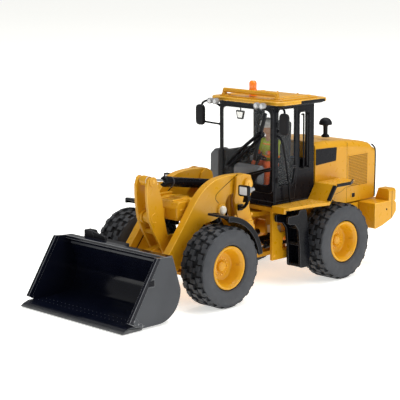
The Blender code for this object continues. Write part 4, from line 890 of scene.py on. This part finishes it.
def make_hood():
    hood = Piece("hood_detailed", "yellow_paint", "hood")
    side_line = [(33.5, 34.4), (36.4, 34.4), (41.6, 28.8), (46.4, 24.8), (67.6, 24.8), (68.5, 25.8),
        (68.7, 43)]
    crown = smooth_path([(68.2, 44.4), (66.6, 45.9), (63.4, 46.9), (59, 47.7), (51, 48.6), (40, 49.2),
        (33.5, 49.4)], 4)
    shell = plate(side_line + crown, "X", -HOOD_HALF, HOOD_HALF, 0)
    shoulders = [
        edge for edge in shell.edges
        if abs(edge.verts[0].co.x - edge.verts[1].co.x) < 0.01 and min(v.co.z for v in edge.verts) > 43.5
    ]
    bmesh.ops.bevel(shell, geom=shoulders, offset=2.6, segments=6, profile=0.5, affect="EDGES",
        clamp_overlap=False)
    hood.add(shell, PAINT)
    seam = [(51.6, 24.9), (51.6, 47.6)]
    hood.cheeks(band(seam, 0.1), 13.95, 14.02, 0, GREY)
    hood.cheeks(band([(43, 28.6), (48.4, 29.4), (51.6, 31)], 0.1), 13.95, 14.02, 0, GREY)
    # black trim down the rear edge
    trim = smooth_path([(68.3, 25.2), (68.5, 34), (68.5, 42.6), (67.6, 44.6), (66, 45.7)], 5)
    hood.cheeks(band(trim, 0.6), 13.9, 14.14, 0.05, PLASTIC)
    hood.add(plate(band([(68.2, 44.2), (66.5, 45.95)], 0.5), "X", -11.6, 11.6, 0.08), PLASTIC)
    # plain dark plate on each side
    badge = filleted([(33.7, 41), (45.1, 41.6), (45.5, 46.6), (33.7, 47)], 0.4, 4)
    hood.cheeks(badge, 13.95, 14.18, 0.05, CAB_GREY)
    latch = panel((54, 26), (56.8, 28.6), 0.3, 3)
    hood.cheeks(latch, 13.95, 14.15, 0.06, YELLOW)
    hood.cheeks(panel((54.5, 26.5), (56.3, 28.1), 0.2, 3), 14.1, 14.2, 0.04, BLACK)
    # louvres in the recess at the back
    for i in range(15):
        z = 28.5 + i * 0.88
        louvre = box((-10.9, -0.14, -0.5), (10.9, 0.14, 0.5), 0.05)
        hood.add(moved(turned_by(louvre, LOUVRE_LEAN, "X"), (0, 68.4, z)), PLASTIC)
    hood.add(box((-11, 68.02, 28), (11, 68.12, 41.4), 0), BLACK)
    for x in (-11.1, -3.7, 3.7, 11.1):
        hood.add(box((x - 0.25, 68.2, 27.8), (x + 0.25, 68.95, 41.6), 0.1), PLASTIC)
    for z in (27.9, 41.5):
        hood.add(box((-11.3, 68.2, z - 0.25), (11.3, 68.95, z + 0.25), 0.1), PLASTIC)
    for x in (-9.6, 9.6):
        hood.add(bolt((x, 66, 46.1), (0, 0.2, 1), 0.35, 0.25), PAINT_HIGHLIGHT)
    hood.done()
    for name, side in SIDES:
        grille = Piece(f"side_grille_mesh_{name}", "yellow_paint", f"side_grille_{name}")
        low, high = (52.5, 30.7), (63.7, 42.5)
        # the sheet behind the bars is painted shade
        grille.add(box((13.9, low[0], low[1]), (14.01, high[0], high[1]), 0), GRILLE_SHADE_SHEET)
        count = 20
        for i in range(count + 1):
            y = low[0] + (high[0] - low[0]) * i / count
            z = low[1] + (high[1] - low[1]) * i / count
            grille.add(rod((14.03, y, low[1]), (14.03, y, high[1]), 0.1, sides=6), PAINT)
            grille.add(rod((14.07, low[0], z), (14.07, high[0], z), 0.1, sides=6), PAINT)
        rim = rectangle((52.1, 30.3), (64.1, 42.9))
        grille.add(plate(filleted(rim, 0.4, 3), "X", 13.8, 14.12, 0.06,
            [filleted(rectangle(low, high), 0.3, 3)]), PAINT)
        grille.done(side)

    cleaner = Piece("precleaner_detailed", "black_plastic", "precleaner")
    profile = [
        (0, 57), (0.9, 56.95), (1.7, 56.5), (2.25, 55.8), (2.5, 55), (2.48, 54.5), (2.2, 54.3), (1.5, 54.2),
        (1, 54), (0.88, 53.6), (0.85, 51), (1, 50.7), (1.45, 50.5), (1.5, 50.2), (1.5, 49.7), (0, 49.6),
    ]
    cleaner.add(turned(profile, "Z", CLEANER, 36), PLASTIC)
    for across, along in around(16, 1):
        start = Vector((CLEANER[0] + across * 2.2, CLEANER[1] + along * 2.2, 54.5))
        cleaner.add(rod(start, start + Vector((across * 0.1, along * 0.1, 0.75)), 0.1, sides=6), BLACK_HIGHLIGHT)
    cleaner.done()


# ---------------------------------------------------------------- platforms and ladders

def make_platforms():
    for name, side in SIDES:
        deck = Piece(f"platform_treadplate_{name}", "yellow_paint", f"platform_{name}")
        deck.add(cad("platform_left", soft=0.1), YELLOW)

        # raised bars on both levels, with none on the slope between them
        row = 0
        y = 10.8
        while y < 46:
            count = 0 if 28.6 <= y < 33.4 else 5 if y < 20 else 7
            for i in range(count):
                bar = turned_by(ball((0, 0, 0), 0.5, (0.24, 1.1, 0.2), 6, 8), 38 if (i + row) % 2 else -38,
                    "Z")
                place = (15 + i * 1.25 + (row % 2) * 0.6, y, 29.2 if y < 30 else 35)
                deck.add(moved(bar, place), PAINT_HIGHLIGHT)
            y += 1.15
            row += 1
        # rubber strips on the riser's edge and along the upper outer edge
        strip = band([(29.6, 29.6), (33.1, 34.7)], 0.9)
        deck.add(plate(strip, "X", 23.2, 24.75, 0.15), PLASTIC)
        outer = [(24.45, 33.6), (24.45, 41.2), (21.4, 46.4)]
        deck.add(plate(band(outer, 0.5), "Z", 34.2, 35.35, 0.12), PLASTIC)
        deck.done(side)

        ladder = Piece(f"ladder_detailed_{name}", "black_plastic", f"ladder_{name}")
        post = filleted([
            (9.6, 26.2), (9.6, 23.6), (13.4, 22.8), (15.2, 20.6), (16, 14), (16.4, 6.6), (21.2, 6.6),
            (21.4, 12), (19.6, 26), (19.2, 27.8), (15.8, 27.8), (15, 26.2),
        ], 0.9, 4)
        for x in (15.6, 21.4):
            ladder.add(plate(post, "X", x, x + 1, 0.16, segments=3), DARK)
        ladder.add(box((16.2, 18.4, 14), (21.8, 19.4, 27), 0.14), BLACK)
        for z in (6.8, 14.6, 20.6):
            ladder.add(box((16, 16.6, z), (22.2, 20.6, z + 0.9), 0.16), DARK)
            for i in range(5):
                for y in (17.2, 18.2):
                    ladder.add(ball((16.9 + i * 1.05, y, z + 0.9), 0.22, (1, 1, 0.5), 6, 8), BLACK_HIGHLIGHT)
        ladder.add(box((16.2, 20, 6.8), (21.8, 20.9, 14), 0.14), BLACK)
        ladder.done(side)


# ---------------------------------------------------------------- cab

def make_cab():
    cab = Piece("cab_frame_detailed", "dark_grey_paint", "cab_frame")
    cab.add(cad("cab_frame", soft=0.2, segments=3), CAB_GREY)
    surround = panel((-13.3, 33), (13.3, 64), 2.2, 6)
    opening = panel((-11.9, 36), (11.9, 62.8), 2.4, 6)
    cab.add(plate(surround, "Y", 11.25, 11.75, 0.14, [opening]), DARK)
    door = [(13, 35.6), (21.2, 35.6), (22.6, 42), (22.6, 63.4), (13, 63.4)]
    rear_pane = [(24.4, 41), (28.8, 41), (28.8, 61.6), (24.4, 61.6)]
    far_pane = [(13, 46), (30.4, 46), (30.4, 63), (13, 63)]
    for outline, side in ((door, 1), (rear_pane, 1), (far_pane, -1)):
        hole = filleted(outline, 0.9, 5)
        middle = [sum(p[i] for p in outline) / len(outline) for i in (0, 1)]
        reach = [max(p[i] for p in outline) - min(p[i] for p in outline) for i in (0, 1)]
        wide, tight = [
            [tuple(m + (value - m) * (1 + margin / size) for value, m, size in zip(p, middle, reach))
            for p in hole]
            for margin in (0.9, -0.4)
        ]
        cab.add(plate(wide, "X", 13.85, 14.22, 0.1, [tight]), DARK, (side,))
    # door seam, handle and hinges
    cab.add(plate(band([(12.2, 30.4), (22, 30.4), (23.5, 41), (23.5, 64)], 0.14), "X", 13.95, 14.05, 0),
        BLACK_HIGHLIGHT)
    cab.add(box((13.9, 20.6, 41.6), (14.5, 22.6, 42.6), 0.2, 3), DARK)
    for z in (38, 58):
        cab.add(rod((14.3, 12.3, z - 0.9), (14.3, 12.3, z + 0.9), 0.35, sides=14, soft=0.06), BLACK)
    # rails before and behind the rear side window
    rail = [(14.2, 28.6, 60.6), (15.1, 28.5, 60.8), (15.2, 28.5, 59.8), (15.2, 28.5, 50), (15.2, 28.5, 42.4),
        (15.1, 28.5, 41.4), (14.2, 28.6, 41.4)]
    cab.add(tube(rail, 0.34, 12, 4), BLACK)
    cab.add(tube([(p[0], p[1] - 3, p[2]) for p in rail], 0.3, 12, 4), BLACK)
    # rail under the roof, and the sills
    cab.add(box((-13.4, 11.3, 63.6), (13.4, 12, 64.3), 0.2, 3), DARK)
    cab.add(box((-13.8, 11.35, 28.5), (13.8, 11.8, 30.2), 0.2, 3), CAB_GREY)
    cab.add(box((13.8, 13, 28.6), (14.2, 33, 29.6), 0.15), CAB_GREY, BOTH)
    # frame of the rear window
    surround = panel((-12.4, 42.2), (12.4, 63.4), 1.8, 5)
    opening = panel((-11.2, 43.4), (11.2, 62.2), 1.5, 5)
    cab.add(plate(surround, "Y", 33.05, 33.45, 0.12, [opening]), DARK)
    # inside mirror
    mirror = filleted([(-8, 61.4), (-3.6, 61.4), (-4.4, 58.2), (-7.2, 58.2)], 0.4, 3)
    cab.add(plate(mirror, "Y", 14.2, 14.7, 0.1), BLACK)
    middle = (-5.8, 59.8)
    cab.add(plate([(middle[0] + (u - middle[0]) * 0.72, middle[1] + (v - middle[1]) * 0.66) for u,
        v in mirror], "Y", 14.1, 14.25, 0), CHROME)
    cab.add(rod((-5.8, 14.6, 61), (-5.8, 14.6, 63), 0.25, sides=10), BLACK)
    cab.done()

    cover = Piece("side_cover_moulded", "black_plastic", "side_cover_right")
    outline = [(-19.5, 35.6), (-14.3, 34.6), (-14.3, 46.6), (-17, 46.6), (-19.3, 44.6)]
    cover.add(plate(filleted(outline, 1.8, 6), "Y", 12, 17.8, 0.9, segments=5), COVER)
    cover.done()

    cowl = Piece("cab_cowl", "black_paint")
    top = smooth_path([(-12.4, 35.6), (-10.4, 36.2), (-6, 37.5), (0, 39), (6, 40.8), (12.6, 42.7)], 6)
    under = [(12.6, 41.2), (9, 40.4), (6, 38.9), (4.4, 36.8), (3.9, 34.8), (3.9, 33.2), (-12.4, 33.2)]
    cowl.add(plate(top + under, "Y", 11.3, 11.72, 0.12), DARK)
    cowl.add(plate(band([(p.x, p.y - 0.35) for p in top], 0.9), "Y", 10.95, 11.5, 0.2), DARK)
    cowl.done()

    for node in ("windscreen", "rear_glass", "door_glass_left", "side_glass_right"):
        finish_node(node, GLASS, 0)


def make_roof():
    wide, front, rear = 17.9, 10, 36.2
    roof = Piece("roof_detailed", "yellow_paint", "roof")
    lower = [(-wide + 2, front), (wide - 2, front), (wide, front + 2.2), (wide, rear - 1.6), (wide - 2, rear),
        (-wide + 2, rear), (-wide, rear - 1.6), (-wide, front + 2.2)]
    under = [(x * 0.95, ROOF_MIDDLE_Y + (y - ROOF_MIDDLE_Y) * 0.94) for x, y in lower]
    roof.add(plate(filleted(under, 1.4, 5), "Z", 64.5, 65.2, 0.15), DARK)
    roof.add(plate(filleted(lower, 1.2, 5), "Z", 65, 66.35, 0.32, segments=3), YELLOW)
    crown = [(x * 0.86, ROOF_MIDDLE_Y + (y - ROOF_MIDDLE_Y) * 0.86) for x, y in lower]
    roof.add(plate(filleted(crown, 2, 5), "Z", 66.2, 66.75, 0.35, segments=3), PAINT)
    roof.add(plate(panel((-8.4, 18.6), (8.4, 30.6), 1.6, 5), "Z", 66.6, 66.95, 0.22, segments=3), YELLOW)
    for x in (10.4, -12.2):
        roof.add(box((x, 12.6, 66.4), (x + 1.8, 33, 67.05), 0.22, 3), YELLOW)
    # black rim along each side's rear half, with its pointed lip
    rim = [(18, 21), (18, 33.8), (16.6, 36.3), (15.4, 36.3), (17, 33.6), (17.3, 21.6)]
    roof.add(plate(rim, "Z", 64.9, 66.1, 0.12), DARK, BOTH)
    roof.add(box((-15.6, 35.4, 64.9), (15.6, 36.35, 65.9), 0.2), DARK)
    for x, y in ((13.6, 16), (13.6, 30), (5, 33.6)):
        roof.add(bolt((x, y, 66.7), (0, 0, 1), 0.4, 0.3), PAINT_HIGHLIGHT, BOTH)
    roof.done()

    guard = Piece("guard_bar_detailed", "yellow_paint", "guard_bar")
    bends = [(-13, GUARD_Y, 67), (-13, GUARD_Y, 67.9), (-12.7, GUARD_Y, 68.35), (-12.1, GUARD_Y, 68.5),
        (0, GUARD_Y, 68.5), (12.1, GUARD_Y, 68.5), (12.7, GUARD_Y, 68.35), (13, GUARD_Y, 67.9),
        (13, GUARD_Y, 67)]
    guard.add(tube(bends, 0.82, 16, 3), PAINT)
    for x in (-13, 13):
        guard.add(rod((x, GUARD_Y, 66.7), (x, GUARD_Y, 67.4), 1.1, soft=0.15), YELLOW)
    guard.done()

    beacon = Piece("beacon_detailed", "orange_lens", "beacon")
    dome = [(0, 72.4), (0.7, 72.33), (1.1, 72.1), (1.3, 71.6), (1.34, 70.6), (1.36, 69.3), (1.3, 69), (0, 69)]
    beacon.add(turned(dome, "Z", BEACON, 36), AMBER_GLOWING)
    for spot in around(12, 1.32):
        foot = Vector(BEACON) + Vector((*spot, 69.4))
        beacon.add(rod(foot, foot + Vector((0, 0, 2.2)), 0.07, sides=6), AMBER_GLOWING)
    base = [(0, 69.1), (1.45, 69.1), (1.55, 68.9), (1.55, 68.3), (1.2, 68.1), (1.15, 67.3), (1.5, 67.1),
        (1.5, 66.9), (0, 66.9)]
    beacon.add(turned(base, "Z", BEACON, 36), AMBER_GLOWING)
    beacon.done()


def make_fittings():
    for name, side in SIDES:
        lights = Piece(f"work_lights_detailed_{name}", "black_plastic", f"work_lights_{name}")
        lights.add(box((9.6, 7, 64.7), (13.6, 9.7, 65.2), 0.15), DARK)
        for x in (10.2, 12.9):
            pot = [(0, 7.6), (0.7, 7.5), (1, 7), (1.1, 6.2), (1.1, 5.4), (0.9, 5.2), (0.85, 5.5), (0, 5.55)]
            lights.add(turned(pot, "Y", (x, 0, 65.1), 28), SILVER)
            face = [(0, 5.2), (0.5, 5.25), (0.88, 5.45), (0.88, 5.8), (0, 5.8)]
            lights.add(turned(face, "Y", (x, 0, 65.1), 28), LENS)
        lights.done(side)

        mirror = Piece(f"mirror_detailed_{name}", "black_plastic", f"mirror_{name}")
        face = panel((18.8, 55.3), (22.9, 62.9), 1.7, 6)
        mirror.add(plate(face, "Y", 8.1, 9.6, 0.5, segments=4), PLASTIC)
        glass = [(20.85 + (u - 20.85) * 0.84, 59.1 + (v - 59.1) * 0.88) for u, v in face]
        mirror.add(plate(glass, "Y", 9.5, 9.7, 0.05), CHROME)
        mirror.add(tube([(20.8, 9, 61.8), (20.2, 9.6, 63.6), (18.6, 10.3, 64.4), (17, 10.8, 64.3),
            (14.5, 12.4, 62.8)], 0.4, 12), BLACK)
        mirror.add(tube([(20.8, 9, 57.6), (19.6, 9.8, 56.6), (18, 10.6, 56.3), (14.5, 12.6, 55.8)], 0.35, 12),
            BLACK)
        for place in ((14.4, 12.4, 62.8), (14.4, 12.6, 55.8)):
            mirror.add(ball(place, 0.55), BLACK)
        mirror.done(side)

    handrail = Piece("handrail_detailed_left", "black_plastic", "handrail_left")
    rail = [(14.3, 12.2, 54), (15.2, 12.3, 53.9), (15.7, 12.9, 53), (15.9, 13.6, 51), (15.9, 15.4, 44),
        (15.9, 16.9, 36), (15.9, 17.6, 29.6)]
    handrail.add(tube(rail, 0.36, 12, 5), BLACK)
    handrail.done()

    wiper = Piece("wiper_detailed", "black_plastic", "wiper")
    wiper.add(tube([(-9.4, 11, 41.6), (-8.6, 10.6, 42.2), (-0.4, 10.5, 48.8), (7.6, 10.7, 54.6)], 0.62, 12,
        2), BLACK)
    wiper.add(tube([(-8, 11, 41), (-7.4, 10.7, 41.6), (0.9, 10.6, 47.5), (7.9, 10.7, 53.4)], 0.5, 12, 2),
        BLACK)
    wiper.add(rod((-9.2, 10.6, 41.6), (-9.2, 11.35, 41.6), 0.8, sides=20, soft=0.1), DARK)
    blade = box((-0.8, 0, -9), (0.8, 0.5, 9.4), 0.16)
    wiper.add(moved(turned_by(blade, WIPER_LEAN, "Y"), (7, 10.9, 53)), DARK)
    wiper.done()


def make_inside():
    seat = Piece("seat_moulded", "black_plastic", "seat")
    seat.add(box((-4.4, 21, 30.9), (4.4, 29.4, 34.6), 0.6, 4), PLASTIC)
    cushion = filleted([(20.9, 35), (29.4, 35), (29.4, 38.2), (21.6, 38.7), (20.9, 37.8)], 1, 5)
    seat.add(plate(cushion, "X", -4.6, 4.6, 0.5, segments=4), PLASTIC)
    back = filleted([(27, 38), (30.6, 38), (31.4, 56.6), (29.4, 57)], 1.2, 5)
    seat.add(plate(back, "X", -4.4, 4.4, 0.6, segments=4), PLASTIC)
    seat.add(box((-7.4, 21, 42), (-5, 29.4, 44), 0.5, 4), ARMREST)
    seat.add(box((-6.6, 26.4, 36), (-4.2, 28.8, 42.4), 0.3), PLASTIC)
    seat.done()
    console = Piece("console_moulded", "black_plastic", "console")
    dash = filleted([(12.9, 31), (16.2, 31), (17.2, 40.6), (15.6, 42), (13.1, 41)], 0.9, 4)
    console.add(plate(dash, "X", -8, 4, 0.4, segments=3), ARMREST)
    console.add(rod((0.5, 15.4, 40.4), STEERING_WHEEL, 0.6, sides=20), BLACK)
    ring = turned([(2.35, 0.2), (2.65, 0.3), (2.9, 0), (2.65, -0.3), (2.35, -0.2)], "Z", (0, 0, 0), 40, True)
    console.add(moved(turned_by(ring, STEERING_WHEEL_TILT, "X"), STEERING_WHEEL), BLACK)
    spoke = box((-2.6, -0.4, -0.2), (2.6, 0.4, 0.2), 0.1)
    console.add(moved(turned_by(spoke, STEERING_WHEEL_TILT, "X"), STEERING_WHEEL), BLACK)
    for i in range(4):
        console.add(rod((-6.4 + i * 1.1, 15.9, 41.2), (-6.4 + i * 1.1, 16.2, 43.4), 0.16, sides=10), BLACK)
    console.done()

    figure = Piece("operator_painted", "operator_paint", "operator")
    figure.add(ball((0, 24.6, 46.4), 4, (1, 0.62, 1.3), 24, 32), VEST)
    for z in (44.2, 48.6):
        strip = turned([(3.95 if z < 46 else 3.55, z - 0.35), (4.05 if z < 46 else 3.65, z),
            (3.95 if z < 46 else 3.55, z + 0.35)], "Z", (0, 0, 0), 32)
        bmesh.ops.scale(strip, vec=(1, 0.63, 1), verts=strip.verts)
        figure.add(moved(strip, (0, 24.6, 0)), AMBER_GLOWING)
    figure.add(rod((0, 23.6, 50), (0, 22.9, 54), 1.1, sides=20), SKIN)
    figure.add(ball((0, 22.6, 54.8), 1.95, (0.92, 1, 1.2), 24, 32), SKIN)
    figure.add(ball((0, 20.75, 54.6), 0.42, (0.7, 0.8, 1), 10, 14), SKIN)
    for x in (-0.7, 0.7):
        figure.add(ball((x, 20.95, 55.2), 0.2, (1, 0.6, 0.7), 8, 10), GREY)
    figure.add(ball((0, 22.8, 56.4), 2.6, (0.95, 1.08, 0.82), 24, 32), HELMET)
    figure.add(turned([(2.4, 56), (2.75, 55.8), (2.8, 55.95), (2.4, 56.3)], "Z", (0, 22.6, 0), 36, True),
        HELMET)
    for side in BOTH:
        hip, knee, foot = (side * 1.8, 25, 41), (side * 3, 19.4, 41.6), (side * 3.2, 18.4, 32.6)
        figure.add(rod(hip, knee, 1.6, 1.35, 20), TROUSERS)
        figure.add(ball(knee, 1.45), TROUSERS)
        figure.add(rod(knee, foot, 1.3, 1.05, 20), TROUSERS)
        figure.add(box((side * 3.2 - 1, 16.9, 31.2), (side * 3.2 + 1, 20, 33), 0.5, 4), BLACK)
        shoulder, elbow, hand = (side * 3.4, 24.4, 49.4), (side * 4.3, 22.6, 45.6), (side * 2.6, 19.9, 46)
        figure.add(ball(shoulder, 1.25), VEST)
        figure.add(rod(shoulder, elbow, 1.15, 1, 20), VEST)
        figure.add(ball(elbow, 1.05), TROUSERS)
        figure.add(rod(elbow, hand, 1, 0.8, 20), TROUSERS)
        figure.add(ball(hand, 0.75, (0.9, 1.1, 0.8)), SKIN)
    figure.done()


# ---------------------------------------------------------------- stage, light and camera

def make_stage():
    floor_mesh = bpy.data.meshes.new("floor")
    shape = bmesh.new()
    bmesh.ops.create_grid(shape, x_segments=1, y_segments=1, size=6)
    shape.to_mesh(floor_mesh)
    shape.free()
    floor = bpy.data.objects.new("floor", floor_mesh)
    floor.location.z = -0.00005
    floor_mesh.materials.append(surface("pale_floor", (0.90, 0.90, 0.875), (0.94, 0.94, 0.915), (0.8, 0.9),
        patch=2, grain=40, bump=0.02, glow=0.62))
    bpy.context.scene.collection.objects.link(floor)

    world = bpy.data.worlds.new("studio")
    world.use_nodes = True
    world.node_tree.nodes["Background"].inputs["Color"].default_value = (1, 1, 0.98, 1)
    world.node_tree.nodes["Background"].inputs["Strength"].default_value = 0.38
    bpy.context.scene.world = world

    for name, place, size, power in (
        ("key", (0.6, 0.15, 0.5), 0.5, 2.2),
        ("front", (-0.25, -0.7, 0.5), 0.4, 0.4),
        ("top", (0, 0.15, 0.9), 0.6, 5.6),
    ):
        lamp = bpy.data.lights.new(name, "AREA")
        lamp.size = size
        lamp.energy = power
        obj = bpy.data.objects.new(name, lamp)
        obj.location = place
        obj.rotation_mode = "QUATERNION"
        obj.rotation_quaternion = (-Vector(place)).to_track_quat("-Z", "Y")
        bpy.context.scene.collection.objects.link(obj)


def make_camera():
    azimuth, elevation, roll = math.radians(44.70), math.radians(10.27), math.radians(-0.10)
    back = Vector((math.sin(azimuth) * math.cos(elevation), -math.cos(azimuth) * math.cos(elevation),
        math.sin(elevation)))
    lens = bpy.data.cameras.new("camera")
    lens.lens = 128.8
    lens.sensor_width = 36
    lens.shift_x = -0.0504
    lens.shift_y = -0.0055
    lens.clip_start = 0.01
    camera = bpy.data.objects.new("camera", lens)
    camera.location = (0.3538, -0.3595, 0.1230)
    camera.rotation_mode = "QUATERNION"
    camera.rotation_quaternion = (-back).to_track_quat("-Z", "Y") @ Quaternion((0, 0, 1), roll)
    bpy.context.scene.collection.objects.link(camera)
    bpy.context.scene.camera = camera
    bpy.context.scene.view_settings.view_transform = "Standard"


make_camera()
make_stage()
for end, _, axle_y in AXLES:
    for name, side in SIDES:
        make_wheel(end, name, axle_y, side)
make_axles()
make_bucket()
make_arms()
make_cylinder("tilt", (LEVER_TOP, TILT_BASE), 0, (0.8, 1.7), (27.4, 6), (PAINT, PIN))
for name, side in SIDES:
    make_cylinder(f"lift_{name}", (LIFT_PIN, LIFT_BASE), side * 5.2, (0.9, 1.9), (18.9, 0.3), DARK)
make_front_frame()
make_rear_frame()
make_hood()
make_platforms()
make_cab()
make_roof()
make_fittings()
make_inside()
